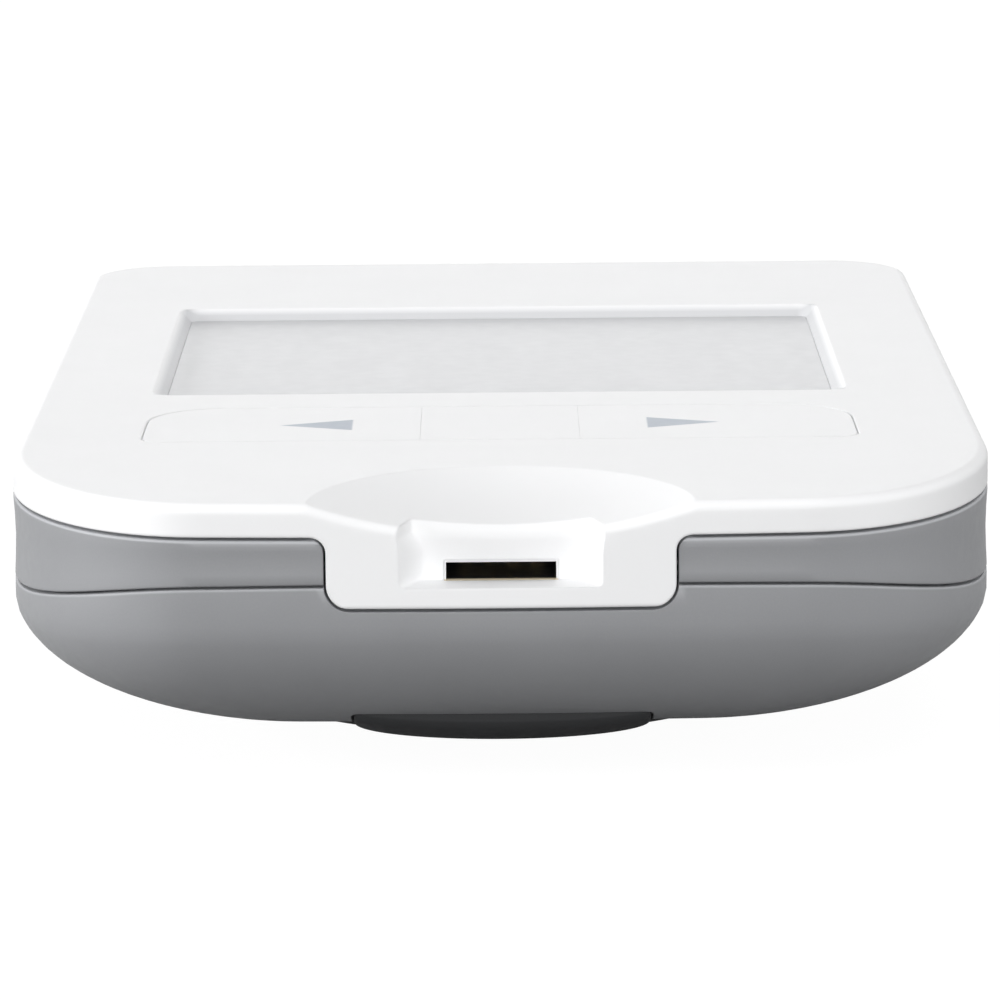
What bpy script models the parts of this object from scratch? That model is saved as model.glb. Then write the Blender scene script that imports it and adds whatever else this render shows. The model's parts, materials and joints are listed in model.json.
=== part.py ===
"""A blood glucose meter: a white cover with a nose for the test strip, a grey frame and a grey lower case.

It lies on its feet with +Z up. The test strip goes in at the front, towards -Y.
The origin is on the table, under the middle of the meter. Sizes are in metres.
Y places are given as a distance behind the front face, and heights as a depth below the flat of the cover.
"""

import math

import bmesh
import bpy
from mathutils import Matrix, Vector

# The whole meter
LENGTH = 0.088
WIDTH = 0.0587
HEIGHT = 0.0175

# Clearances, and how far a cutter runs past what it cuts
GAP = 0.0003
OVERRUN = 0.001

# The outline seen from above
FRONT_CORNER_RADIUS = 0.0118
FRONT_CORNER_REACH = 0.0168
BACK_CORNER_RADIUS = 0.0055
FRONT_BOW = 0.00175
CORNER_STEPS = 8
FRONT_STEPS = 8
SIDE_STEPS = 2
ROUND_STEPS = 32

# Cover
COVER_EDGE_RADIUS = 0.001
COVER_SKIRT = 0.002
COVER_PLATE = 0.0015
COVER_WALL = 0.0016
EDGE_STEPS = 3

# Nose of the cover, with the recess and the slot for the strip
NOSE_WIDTH = 0.0204
NOSE_DEPTH = 0.006
NOSE_LENGTH = 0.0036
NOSE_BOTTOM_RADIUS = 0.0014
NOSE_TOP_RADIUS = 0.0009
RECESS_WIDTH = 0.012
RECESS_LENGTH = 0.0022
RECESS_FLOOR = 0.0049
RECESS_RADIUS = 0.0018
SLOT_WIDTH = 0.00635
SLOT_HEIGHT = 0.00105
NOSE_STEPS = 6

# Finger scoop in front of the keys, and the pad under it
SCOOP_RADIUS = 0.0112
SCOOP_DEPTH = 0.0018
SCOOP_CENTER = 0.0002
SCOOP_FLOOR = 0.001
SCOOP_PAD_MARGIN = 0.0005
SCOOP_STEPS = 6

# Display opening and window
OPENING_WIDTH = 0.044
OPENING_FRONT = 0.0353
OPENING_BACK = 0.0197
OPENING_SLOPE = 0.0007
OPENING_DEPTH = 0.00075
OPENING_RADIUS = 0.001
WINDOW_FLANGE = 0.0006
WINDOW_FLANGE_LIP = 0.0005

# Keys
BAR_WIDTH = 0.0436
BAR_LENGTH = 0.011
BAR_FRONT = 0.0195
BAR_FRONT_RADIUS = 0.0012
BAR_BACK_RADIUS = 0.0045
CENTER_KEY_WIDTH = 0.0097
KEY_SPACING = 0.011
KEY_TRAVEL = 0.0005
KEY_FLANGE = 0.0008
KEY_FLANGE_LIP = 0.0008
KEY_STEM = 0.0007
STEM_RADIUS = 0.0015
SEAT_OVERLAP = 0.0002

# Switches under the keys
SWITCH_WIDTH = 0.006
SWITCH_HEIGHT = 0.0015
PLUNGER_RADIUS = 0.0015
PLUNGER_OVERTRAVEL = 0.0001
SWITCH_FLOOR = 0.0005

# Display stack
LCD_SIDE_INSET = 0.0015
LCD_END_INSET = 0.001
LCD_THICKNESS = 0.002
HOLDER_RIM = 0.0012
DISPLAY_CONNECTOR_SIDE_INSET = 0.0015
DISPLAY_CONNECTOR_LENGTH = 0.0016
DISPLAY_CONNECTOR_INSET = 0.0005

# Main board
BOARD_DEPTH = 0.0063
BOARD_THICKNESS = 0.001
BOARD_MARGIN = 0.0008

# Test strip connector
CONNECTOR_WIDTH = 0.0104
CONNECTOR_LENGTH = 0.0121
CONNECTOR_ROOF = 0.00077
CONTACT_COUNT = 4
CONTACT_PITCH = 0.0014
CONTACT_WIDTH = 0.0006
CONTACT_THICKNESS = 0.0003
CONTACT_REACH = 0.0049
CONTACT_TAIL = 0.0009

# Frame between cover and lower case
PARTING_DEPTH = 0.007
PARTING_RISE = 0.0023
RISE_LENGTH = 0.012
FRAME_WAIST = 0.0001
FRAME_WALL = 0.0018

# Lower case
CREASE_DEPTH = 0.0084
CREASE_RISE = 0.0015
BELLY_DROP = 0.0076
BELLY_SIDE = 0.0183
BELLY_FRONT = 0.0174
BELLY_BACK = 0.016
BELLY_RADIUS = 0.003
CASE_WALL = 0.002
BELLY_STEPS = 7

# Screws and the bosses that they run through
SCREW_INSET = 0.00885
SCREW_FRONT = 0.013
SCREW_BACK = 0.012
SCREW_HEAD_RADIUS = 0.002
SCREW_HEAD = 0.0015
SCREW_RADIUS = 0.001
SCREW_LENGTH = 0.009
SEAT_DEPTH = 0.0122
POST_RADIUS = 0.0025
BOSS_WALL = 0.0012

# Battery compartment and cells
CELL_RADIUS = 0.010
CELL_THICKNESS = 0.0032
CELL_SPACING = 0.0206
CELL_CAP_RADIUS = 0.0085
CELL_CAP_STEP = 0.0003
FIRST_CELL = 0.029
COMPARTMENT_WALL = 0.0012
COMPARTMENT_CEILING = 0.001
COMPARTMENT_RADIUS = 0.002
LEAF_THICKNESS = 0.0003
LEAF_WIDTH = 0.004
LEAF_LENGTH = 0.010
TAB_WIDTH = 0.002
TAB_THICKNESS = 0.0005
POSITIVE_LEAF_THICKNESS = 0.00045
POSITIVE_LEAF_DEPTH = 0.0022
POSITIVE_LEAF_SPAN = 0.006
POSITIVE_LEAF_BOW = 0.0016
POSITIVE_LEAF_STEPS = 8

# Battery door, with the tongue that comes forward under the nose
TONGUE_FRONT = 0.0054
TONGUE_WIDTH = 0.0176
DOOR_WIDTH = 0.0236
DOOR_BACK = 0.0625
SHOULDER_START = 0.0135
SHOULDER_LENGTH = 0.0035
DOOR_CORNER_RADIUS = 0.0025
DOOR_EMBED = 0.0008
DOOR_EDGE_PROUD = 0.0004
DOOR_CROWN = 0.00115
DOOR_STEPS = 12
TONGUE_STEPS = 7

# Feet
FOOT_RADIUS = 0.0023
FOOT_OFFSET = 0.0029
FOOT_FRONT = 0.026
FOOT_BACK = 0.024
FOOT_POCKET = 0.0149
FOOT_EDGE_RADIUS = 0.0004
FOOT_EDGE_STEPS = 3

# Parts on the underside of the board: name, X, distance behind the front, width, length, height
BUZZER_RADIUS = 0.0045
BUZZER_HEIGHT = 0.0019
BUZZER_BACK = 0.0185
BUZZER_PORT_RADIUS = 0.0008
BUZZER_PORT_DEPTH = 0.0006
CHIPS = {
    "processor_chip": (0.0, 0.034, 0.007, 0.007, 0.0012),
    "memory_chip": (0.0, 0.048, 0.005, 0.004, 0.001),
    "clock_crystal": (0.0075, 0.034, 0.0015, 0.0032, 0.0008),
    "capacitor_1": (-0.0070, 0.0325, 0.0016, 0.0032, 0.0012),
    "capacitor_2": (-0.0095, 0.0325, 0.0016, 0.0032, 0.0012),
}

# Colour, roughness and metallic value of each material
FINISHES = {
    "white_plastic": ((0.90, 0.90, 0.90, 1.0), 0.42, 0.0),
    "grey_plastic": ((0.30, 0.305, 0.32, 1.0), 0.45, 0.0),
    "dark_grey_plastic": ((0.055, 0.056, 0.06, 1.0), 0.5, 0.0),
    "clear_window": ((0.74, 0.75, 0.76, 1.0), 0.2, 0.0),
    "display_glass": ((0.55, 0.58, 0.55, 1.0), 0.15, 0.0),
    "ivory_plastic": ((0.80, 0.72, 0.56, 1.0), 0.5, 0.0),
    "black_plastic": ((0.02, 0.02, 0.022, 1.0), 0.5, 0.0),
    "board_green": ((0.02, 0.16, 0.07, 1.0), 0.4, 0.0),
    "rubber_grey": ((0.16, 0.16, 0.165, 1.0), 0.8, 0.0),
    "gold_contact": ((0.80, 0.58, 0.24, 1.0), 0.3, 1.0),
    "steel": ((0.60, 0.60, 0.61, 1.0), 0.32, 1.0),
    "silicone": ((0.62, 0.45, 0.48, 1.0), 0.7, 0.0),
}

HALF_WIDTH = WIDTH / 2
FLAT_BOTTOM = CREASE_DEPTH + BELLY_DROP
SKIRT_DEPTH = COVER_SKIRT - GAP / 2


def behind(distance):
    """Y of a place this far behind the front face."""
    return distance - LENGTH / 2


def below(depth):
    """Z of a place this deep below the flat of the cover."""
    return HEIGHT - depth


def clear_scene():
    for old in list(bpy.data.objects):
        bpy.data.objects.remove(old, do_unlink=True)


def new_collection(name):
    made = bpy.data.collections.new(name)
    bpy.context.scene.collection.children.link(made)
    return made


clear_scene()
PARTS = new_collection("blood_glucose_meter")
CUTTERS = new_collection("cutters")


def material(name):
    found = bpy.data.materials.get(name)
    if found:
        return found
    colour, roughness, metallic = FINISHES[name]
    made = bpy.data.materials.new(name)
    made.use_nodes = True
    made.diffuse_color = colour
    shader = made.node_tree.nodes["Principled BSDF"]
    shader.inputs["Base Color"].default_value = colour
    shader.inputs["Roughness"].default_value = roughness
    shader.inputs["Metallic"].default_value = metallic
    return made


def place(name, mesh, finish):
    """Links a mesh as a part of the meter, or as a cutter where it has no finish."""
    made = bpy.data.objects.new(name, mesh)
    if finish is None:
        CUTTERS.objects.link(made)
        made.hide_render = True
        made.display_type = "WIRE"
        return made
    PARTS.objects.link(made)
    mesh.materials.append(material(finish))
    return made


def shade(made):
    made.data.shade_smooth()
    made.data.set_sharp_from_angle(angle=math.radians(30))
    return made


def from_bmesh(name, bm, finish):
    bmesh.ops.recalc_face_normals(bm, faces=bm.faces)
    mesh = bpy.data.meshes.new(name)
    bm.to_mesh(mesh)
    bm.free()
    return shade(place(name, mesh, finish))


def cylinder(name, x, y, radius, low, high, finish=None, steps=ROUND_STEPS):
    """An upright cylinder between two heights."""
    bm = bmesh.new()
    middle = Matrix.Translation((x, y, (low + high) / 2))
    bmesh.ops.create_cone(
        bm, cap_ends=True, segments=steps, radius1=radius, radius2=radius, depth=high - low, matrix=middle
    )
    return from_bmesh(name, bm, finish)


def box(name, low, high, finish=None):
    """A box between two corners."""
    bm = bmesh.new()
    low, high = Vector(low), Vector(high)
    turn = Matrix.Translation((low + high) / 2) @ Matrix.Diagonal((*(high - low), 1.0))
    bmesh.ops.create_cube(bm, size=1.0, matrix=turn)
    return from_bmesh(name, bm, finish)


def arc(center, radius, start, end, steps, reach=None):
    """Points from one angle to another, in degrees. A reach makes the arc that tall and a radius wide."""
    tall = radius if reach is None else reach
    angles = [math.radians(start + (end - start) * i / steps) for i in range(steps + 1)]
    return [(center[0] + radius * math.cos(a), center[1] + tall * math.sin(a)) for a in angles]


def between(first, last, steps):
    """The points that split a straight stretch, without its two ends."""
    shares = [i / steps for i in range(1, steps)]
    return [tuple(a + (b - a) * s for a, b in zip(first, last)) for s in shares]


def rounded(low, high, radii, steps=CORNER_STEPS, splits=(1, 1, 1, 1)):
    """A rectangle with its own corners, anticlockwise from the front right.

    A corner is a radius, or a radius across and a reach along the sides.
    Splits gives the number of stretches on the right, back, left and front side.
    """
    arcs = []
    for i, corner in enumerate(radii):
        radius, reach = corner if isinstance(corner, tuple) else (corner, corner)
        x = high[0] - radius if i in (0, 1) else low[0] + radius
        y = high[1] - reach if i in (1, 2) else low[1] + reach
        arcs.append(arc((x, y), radius, 90 * (i - 1), 90 * i, steps, reach))
    points = []
    for i, stretch in enumerate(arcs):
        points += stretch + between(stretch[-1], arcs[(i + 1) % 4][0], splits[i])
    return points


def centered(x, y, width, length, radius, steps=CORNER_STEPS):
    """A rounded rectangle about a point."""
    low = (x - width / 2, y - length / 2)
    high = (x + width / 2, y + length / 2)
    return rounded(low, high, (radius,) * 4, steps)


def plan(side_inset, front_inset, back_inset, front_corner, back_radius):
    """The meter's outline from above, drawn in by these insets, with its front edge bowed."""
    points = rounded(
        (side_inset - HALF_WIDTH, behind(front_inset)),
        (HALF_WIDTH - side_inset, behind(LENGTH - back_inset)),
        (front_corner, back_radius, back_radius, front_corner),
        splits=(SIDE_STEPS, SIDE_STEPS, SIDE_STEPS, FRONT_STEPS),
    )
    return [(x, y + bow_at(x, y)) for x, y in points]


def bow_at(x, y):
    """How far the bowed front edge draws a point back: most at the front, nothing at the back edge."""
    return FRONT_BOW * (x / HALF_WIDTH) ** 2 * (0.5 - y / LENGTH)


def rise_share(distance):
    """How much of the front rise a seam has at this distance behind the front face."""
    return max(0.0, 1.0 - distance / RISE_LENGTH) ** 2


RIM = plan(0.0, 0.0, 0.0, (FRONT_CORNER_RADIUS, FRONT_CORNER_REACH), BACK_CORNER_RADIUS)
RISE_SHARES = [rise_share(y - behind(0.0)) for x, y in RIM]


def ring(inset, depth, rise=0.0):
    """The outline drawn in evenly, at a depth that rises towards the front."""
    front_corner = (FRONT_CORNER_RADIUS - inset, FRONT_CORNER_REACH - inset)
    points = plan(inset, inset, inset, front_corner, BACK_CORNER_RADIUS - inset)
    return [(x, y, below(depth) + rise * share) for (x, y), share in zip(points, RISE_SHARES)]


def belly_ring(angle, wall=0.0):
    """One ring of the belly, which is a quarter ellipse from the crease down to the flat bottom."""
    drop = math.sin(math.radians(angle))
    inward = 1.0 - math.cos(math.radians(angle))

    def drawn_in(rim, bottom):
        return rim + (bottom - rim) * inward

    corner_radius = drawn_in(FRONT_CORNER_RADIUS - wall, BELLY_RADIUS)
    corner_reach = drawn_in(FRONT_CORNER_REACH - wall, BELLY_RADIUS)
    points = plan(
        drawn_in(wall, BELLY_SIDE),
        drawn_in(wall, BELLY_FRONT),
        drawn_in(wall, BELLY_BACK),
        (corner_radius, corner_reach),
        drawn_in(BACK_CORNER_RADIUS - wall, BELLY_RADIUS),
    )
    z = below(CREASE_DEPTH + (BELLY_DROP - wall) * drop)
    return [(x, y, z + CREASE_RISE * (1.0 - drop) * share) for (x, y), share in zip(points, RISE_SHARES)]


def belly(wall=0.0):
    """The rings of the belly from the flat bottom up to the crease."""
    return [belly_ring(90 * (1.0 - i / BELLY_STEPS), wall) for i in range(BELLY_STEPS + 1)]


def loft(name, rings, finish=None, around=False):
    """A skin through rings of as many points, closed by end caps, or carried round to the first ring."""
    bm = bmesh.new()
    rows = [[bm.verts.new(point) for point in points] for points in rings]
    pairs = list(zip(rows, rows[1:]))
    if around:
        pairs.append((rows[-1], rows[0]))
    else:
        bm.faces.new(rows[0])
        bm.faces.new(rows[-1])
    count = len(rows[0])
    for first, second in pairs:
        for i in range(count):
            j = (i + 1) % count
            bm.faces.new((first[i], first[j], second[j], second[i]))
    return from_bmesh(name, bm, finish)


def flat(name, outline, low, high, finish=None, turn=None):
    """A flat outline, drawn as a 2D curve and extruded between two heights, then turned if asked."""
    curve = bpy.data.curves.new(name + "_outline", "CURVE")
    curve.dimensions = "2D"
    curve.fill_mode = "BOTH"
    curve.extrude = (high - low) / 2
    line = curve.splines.new("POLY")
    line.points.add(len(outline) - 1)
    for point, (x, y) in zip(line.points, outline):
        point.co = (x, y, 0.0, 1.0)
    line.use_cyclic_u = True
    drawn = bpy.data.objects.new(name + "_outline", curve)
    bpy.context.scene.collection.objects.link(drawn)
    bpy.context.view_layer.update()
    graph = bpy.context.evaluated_depsgraph_get()
    mesh = bpy.data.meshes.new_from_object(drawn.evaluated_get(graph))
    mesh.name = name
    bpy.data.objects.remove(drawn, do_unlink=True)
    bpy.data.curves.remove(curve)
    bm = bmesh.new()
    bm.from_mesh(mesh)
    bmesh.ops.remove_doubles(bm, verts=bm.verts, dist=GAP / 100)
    bmesh.ops.translate(bm, verts=bm.verts, vec=(0.0, 0.0, (low + high) / 2))
    if turn is not None:
        bmesh.ops.transform(bm, verts=bm.verts, matrix=turn)
    bpy.data.meshes.remove(mesh)
    return from_bmesh(name, bm, finish)


# An outline drawn in X and Z and extruded along Y, and one drawn in Y and Z and extruded along X
TO_FRONT_VIEW = Matrix(((1, 0, 0, 0), (0, 0, 1, 0), (0, 1, 0, 0), (0, 0, 0, 1)))
TO_SIDE_VIEW = Matrix(((0, 0, 1, 0), (1, 0, 0, 0), (0, 1, 0, 0), (0, 0, 0, 1)))


def turned(name, x, y, profile, finish=None, steps=ROUND_STEPS):
    """A profile of radius and height, from the top of the axis to its bottom, turned about that axis."""
    mesh = bpy.data.meshes.new(name)
    points = [(radius, 0.0, z) for radius, z in profile]
    mesh.from_pydata(points, [(i, i + 1) for i in range(len(points) - 1)], [])
    made = place(name, mesh, finish)
    made.location = (x, y, 0.0)
    screw = made.modifiers.new("turn", "SCREW")
    screw.steps = screw.render_steps = steps
    screw.use_merge_vertices = True
    screw.merge_threshold = GAP / 100
    screw.use_smooth_shade = True
    return made


def boolean(made, other, operation):
    step = made.modifiers.new(f"{operation.lower()}_{other.name}", "BOOLEAN")
    step.operation = operation
    step.object = other
    return made


def cut(made, *others):
    for other in others:
        boolean(made, other, "DIFFERENCE")
    return made


def join(made, *others):
    for other in others:
        boolean(made, other, "UNION")
    return made


def move_origin(made, x, y, z):
    """Puts the object's origin at a point of its joint's axis, and leaves its shape where it is."""
    made.data.transform(Matrix.Translation((-x, -y, -z)))
    made.location = (x, y, z)
    return made


# Heights and places that several pieces share
BAR_MIDDLE = BAR_FRONT + BAR_LENGTH / 2
OPENING_LENGTH = LENGTH - OPENING_FRONT - OPENING_BACK
OPENING_MIDDLE = OPENING_FRONT + OPENING_LENGTH / 2
WINDOW_WIDTH = OPENING_WIDTH - 2 * OPENING_SLOPE - 2 * GAP
WINDOW_LENGTH = OPENING_LENGTH - 2 * OPENING_SLOPE - 2 * GAP
LCD_WIDTH = OPENING_WIDTH - 2 * LCD_SIDE_INSET
LCD_LENGTH = OPENING_LENGTH - 2 * LCD_END_INSET
FLANGE_DEPTH = COVER_PLATE + GAP
WINDOW_BOTTOM = FLANGE_DEPTH + WINDOW_FLANGE
LCD_DEPTH = WINDOW_BOTTOM + GAP
LCD_BOTTOM = LCD_DEPTH + LCD_THICKNESS
BOARD_TOP = BOARD_DEPTH - GAP
BOARD_BOTTOM = BOARD_DEPTH + BOARD_THICKNESS
UNDER_BOARD = BOARD_BOTTOM + GAP
HOLDER_TOP_OF_FLOOR = LCD_BOTTOM + GAP
SLOT_TOP = RECESS_FLOOR - SLOT_HEIGHT
POST_BOTTOM = BOARD_BOTTOM
BOSS_TOP = POST_BOTTOM + GAP
BOSS_RADIUS = SCREW_HEAD_RADIUS + GAP + BOSS_WALL
SCREW_HOLE_RADIUS = SCREW_RADIUS + GAP
DOOR_TOP = FLAT_BOTTOM - DOOR_EMBED
CELL_BOTTOM = DOOR_TOP - GAP
CELL_TOP = CELL_BOTTOM - CELL_THICKNESS
LEAF_BOTTOM = CELL_TOP - GAP
CEILING_DEPTH = LEAF_BOTTOM - LEAF_THICKNESS - GAP
COMPARTMENT_TOP = CEILING_DEPTH - COMPARTMENT_CEILING
CELL_PLACES = [behind(FIRST_CELL), behind(FIRST_CELL + CELL_SPACING)]
HOLLOW_HALF_WIDTH = CELL_RADIUS + GAP
HOLLOW_FRONT = CELL_PLACES[0] - CELL_RADIUS - GAP
HOLLOW_BACK = CELL_PLACES[1] + CELL_RADIUS + GAP
SCREW_PLACES = [
    (side * (HALF_WIDTH - SCREW_INSET), y)
    for side in (-1, 1)
    for y in (behind(SCREW_FRONT), behind(LENGTH - SCREW_BACK))
]
FOOT_PLACES = [
    (side * (DOOR_WIDTH / 2 + FOOT_OFFSET), y)
    for side in (-1, 1)
    for y in (behind(FOOT_FRONT), behind(LENGTH - FOOT_BACK))
]


def nose_outline(margin):
    """The nose seen from the front: straight sides, round bottom corners, and a flare into the skirt."""
    half = NOSE_WIDTH / 2 + margin
    bottom = below(NOSE_DEPTH + margin)
    top = below(SKIRT_DEPTH + margin)
    low_radius = NOSE_BOTTOM_RADIUS + margin
    flare = NOSE_TOP_RADIUS - margin
    right = arc((half - low_radius, bottom + low_radius), low_radius, -90, 0, NOSE_STEPS)
    right += arc((half + flare, top - flare), flare, 180, 90, NOSE_STEPS)
    right += [(half + flare, top + OVERRUN)]
    return right + [(-x, z) for x, z in reversed(right)]


def nose_block(name, margin, length):
    """The nose as a solid block from before the front face to a length behind it."""
    return flat(name, nose_outline(margin), behind(-OVERRUN), behind(length), turn=TO_FRONT_VIEW)


def scoop_cutter():
    """A shallow round dish, centred on the front edge."""
    dish_radius = (SCOOP_RADIUS**2 + SCOOP_DEPTH**2) / (2 * SCOOP_DEPTH)
    half_angle = math.degrees(math.asin(SCOOP_RADIUS / dish_radius))
    center = (0.0, below(0.0) + dish_radius - SCOOP_DEPTH)
    profile = [(0.0, below(-OVERRUN)), (SCOOP_RADIUS, below(-OVERRUN))]
    profile += arc(center, dish_radius, -90 + half_angle, -90, SCOOP_STEPS)[:-1]
    profile += [(0.0, below(SCOOP_DEPTH))]
    return turned("scoop_cutter", 0.0, behind(SCOOP_CENTER), profile, steps=2 * ROUND_STEPS)


def recess_cutter():
    """The thumb-wide recess round the strip slot, open to the front and the top."""
    half = RECESS_WIDTH / 2
    radius = RECESS_RADIUS
    back = behind(RECESS_LENGTH)
    outline = [(-half, behind(-OVERRUN)), (half, behind(-OVERRUN))]
    outline += arc((half - radius, back - radius), radius, 0, 90, NOSE_STEPS)
    outline += arc((radius - half, back - radius), radius, 90, 180, NOSE_STEPS)
    return flat("recess_cutter", outline, below(RECESS_FLOOR), below(-OVERRUN))


def opening_cutter():
    """The display opening: sides that slope in to the window, then run straight down."""
    y = behind(OPENING_MIDDLE)
    narrow = (WINDOW_WIDTH + 2 * GAP, WINDOW_LENGTH + 2 * GAP)
    levels = [
        (below(-OVERRUN), OPENING_WIDTH, OPENING_LENGTH),
        (below(0.0), OPENING_WIDTH, OPENING_LENGTH),
        (below(OPENING_DEPTH), *narrow),
        (below(COVER_PLATE + OVERRUN), *narrow),
    ]
    rings = [
        [(px, py, z) for px, py in centered(0.0, y, width, length, OPENING_RADIUS, NOSE_STEPS)]
        for z, width, length in levels
    ]
    return loft("opening_cutter", rings)


def bar_outline(low_x, high_x, margin=0.0):
    """The key bar between two X places. Its own ends have round corners, and a cut between keys is sharp.

    The margin draws in the front, the back and the bar's own ends, but no cut between keys.
    """
    front, back = BAR_FRONT_RADIUS - margin, BAR_BACK_RADIUS - margin
    left_end, right_end = low_x <= -BAR_WIDTH / 2, high_x >= BAR_WIDTH / 2
    return rounded(
        (low_x + (margin if left_end else 0.0), behind(BAR_FRONT) + margin),
        (high_x - (margin if right_end else 0.0), behind(BAR_FRONT + BAR_LENGTH) - margin),
        (
            front if right_end else GAP,
            back if right_end else GAP,
            back if left_end else GAP,
            front if left_end else GAP,
        ),
        steps=NOSE_STEPS,
    )


def make_top_cover():
    edge = [
        ring(
            COVER_EDGE_RADIUS * (1.0 - math.sin(math.radians(angle))),
            COVER_EDGE_RADIUS * (1.0 - math.cos(math.radians(angle))),
        )
        for angle in [90 * i / EDGE_STEPS for i in range(EDGE_STEPS + 1)]
    ]
    cover = loft("top_cover", edge + [ring(0.0, NOSE_DEPTH)], "white_plastic")
    underside = loft(
        "cover_underside_cutter",
        [
            ring(-OVERRUN, NOSE_DEPTH + OVERRUN),
            ring(-OVERRUN, SKIRT_DEPTH),
            ring(COVER_WALL, SKIRT_DEPTH),
            ring(COVER_WALL, COVER_PLATE),
        ],
    )
    pad_half = SCOOP_RADIUS + SCOOP_PAD_MARGIN
    pad_front = behind(FRAME_WALL + GAP) + bow_at(pad_half, behind(0.0))
    pad_back = SCOOP_CENTER + SCOOP_RADIUS + SCOOP_PAD_MARGIN
    pad = box(
        "scoop_pad_keeper",
        (-pad_half, pad_front, below(SCOOP_DEPTH + SCOOP_FLOOR)),
        (pad_half, behind(pad_back), below(COVER_PLATE - OVERRUN)),
    )
    cut(underside, nose_block("nose_keeper", 0.0, NOSE_LENGTH), pad)
    for i, (x, y) in enumerate(SCREW_PLACES, 1):
        low, high = below(POST_BOTTOM), below(COVER_PLATE - OVERRUN)
        cut(underside, cylinder(f"post_keeper_{i}", x, y, POST_RADIUS, low, high))
    cut(cover, underside, scoop_cutter(), recess_cutter(), opening_cutter())
    slot = box(
        "slot_cutter",
        (-SLOT_WIDTH / 2, behind(RECESS_LENGTH - OVERRUN), below(RECESS_FLOOR)),
        (SLOT_WIDTH / 2, behind(NOSE_LENGTH + OVERRUN), below(SLOT_TOP)),
    )
    bar = flat(
        "bar_cutter",
        bar_outline(-BAR_WIDTH / 2, BAR_WIDTH / 2),
        below(COVER_PLATE + OVERRUN),
        below(-OVERRUN),
    )
    cut(cover, slot, bar)
    for i, (x, y) in enumerate(SCREW_PLACES, 1):
        low, high = below(POST_BOTTOM + OVERRUN), below(SEAT_DEPTH) + SCREW_LENGTH
        cut(cover, cylinder(f"pilot_cutter_{i}", x, y, SCREW_HOLE_RADIUS, low, high))
    return cover


def make_middle_frame():
    bottom = PARTING_DEPTH - GAP / 2
    top = COVER_SKIRT + GAP / 2
    waist = (top + bottom - PARTING_RISE) / 2
    frame = loft(
        "middle_frame",
        [
            ring(0.0, top),
            ring(FRAME_WAIST, waist, PARTING_RISE / 2),
            ring(0.0, bottom, PARTING_RISE),
            ring(FRAME_WALL, bottom, PARTING_RISE),
            ring(FRAME_WALL, top),
        ],
        "grey_plastic",
        around=True,
    )
    return cut(frame, nose_block("frame_nose_cutter", GAP, NOSE_LENGTH + GAP))


def belly_depth(x, distance):
    """How deep the belly's outer surface lies at a plan point near its middle."""
    edge = bow_at(x, behind(distance))
    front_share = min(1.0, max(0.0, (distance - edge) / BELLY_FRONT))
    side_share = min(1.0, (HALF_WIDTH - abs(x)) / BELLY_SIDE)
    share = min(front_share, side_share)
    drop = math.sqrt(1.0 - (1.0 - share) ** 2)
    rise = CREASE_RISE * rise_share(edge) if front_share < side_share else 0.0
    return CREASE_DEPTH + BELLY_DROP * drop - rise * (1.0 - drop)


def door_half_width(distance):
    """The narrow tongue, a smooth shoulder, the wide door and its round back corners."""
    narrow, wide = TONGUE_WIDTH / 2, DOOR_WIDTH / 2
    share = min(1.0, max(0.0, (distance - SHOULDER_START) / SHOULDER_LENGTH))
    half = narrow + (wide - narrow) * (1.0 - math.cos(math.pi * share)) / 2
    past = distance - (DOOR_BACK - DOOR_CORNER_RADIUS)
    if past > 0.0:
        half -= DOOR_CORNER_RADIUS - math.sqrt(max(0.0, DOOR_CORNER_RADIUS**2 - past**2))
    return half


def door_stations():
    """The distances behind the front face at which the door's sections stand."""
    shoulder_end = SHOULDER_START + SHOULDER_LENGTH
    corner = DOOR_BACK - DOOR_CORNER_RADIUS
    found = [TONGUE_FRONT + (SHOULDER_START - TONGUE_FRONT) * i / TONGUE_STEPS for i in range(TONGUE_STEPS)]
    found += [SHOULDER_START + SHOULDER_LENGTH * i / NOSE_STEPS for i in range(NOSE_STEPS + 1)]
    found += [shoulder_end + (corner - shoulder_end) / 2]
    turns = [math.radians(90 * i / EDGE_STEPS) for i in range(EDGE_STEPS + 1)]
    return found + [corner + DOOR_CORNER_RADIUS * math.sin(turn) for turn in turns]


def door_solid(name, margin, finish=None):
    """The door as sections set one behind another. With a margin it is the pocket that the door lies in."""
    first, last = TONGUE_FRONT, DOOR_BACK
    sections = []
    for station in door_stations():
        grown = station + margin * (2 * (station - first) / (last - first) - 1)
        half = door_half_width(station) + margin
        shares = [2 * i / DOOR_STEPS - 1 for i in range(DOOR_STEPS + 1)]
        y = behind(grown)
        lower = []
        for share in shares:
            proud = DOOR_EDGE_PROUD + (DOOR_CROWN - DOOR_EDGE_PROUD) * (1.0 - share**2)
            deep = belly_depth(half * share, station) + proud
            lower.append((half * share, y, below(deep + (OVERRUN if margin else 0.0))))
        top = below(belly_depth(0.0, station) - DOOR_EMBED - margin)
        upper = [(half * share, y, top) for share in reversed(shares)]
        sections.append(lower + upper)
    return loft(name, sections, finish)


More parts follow.
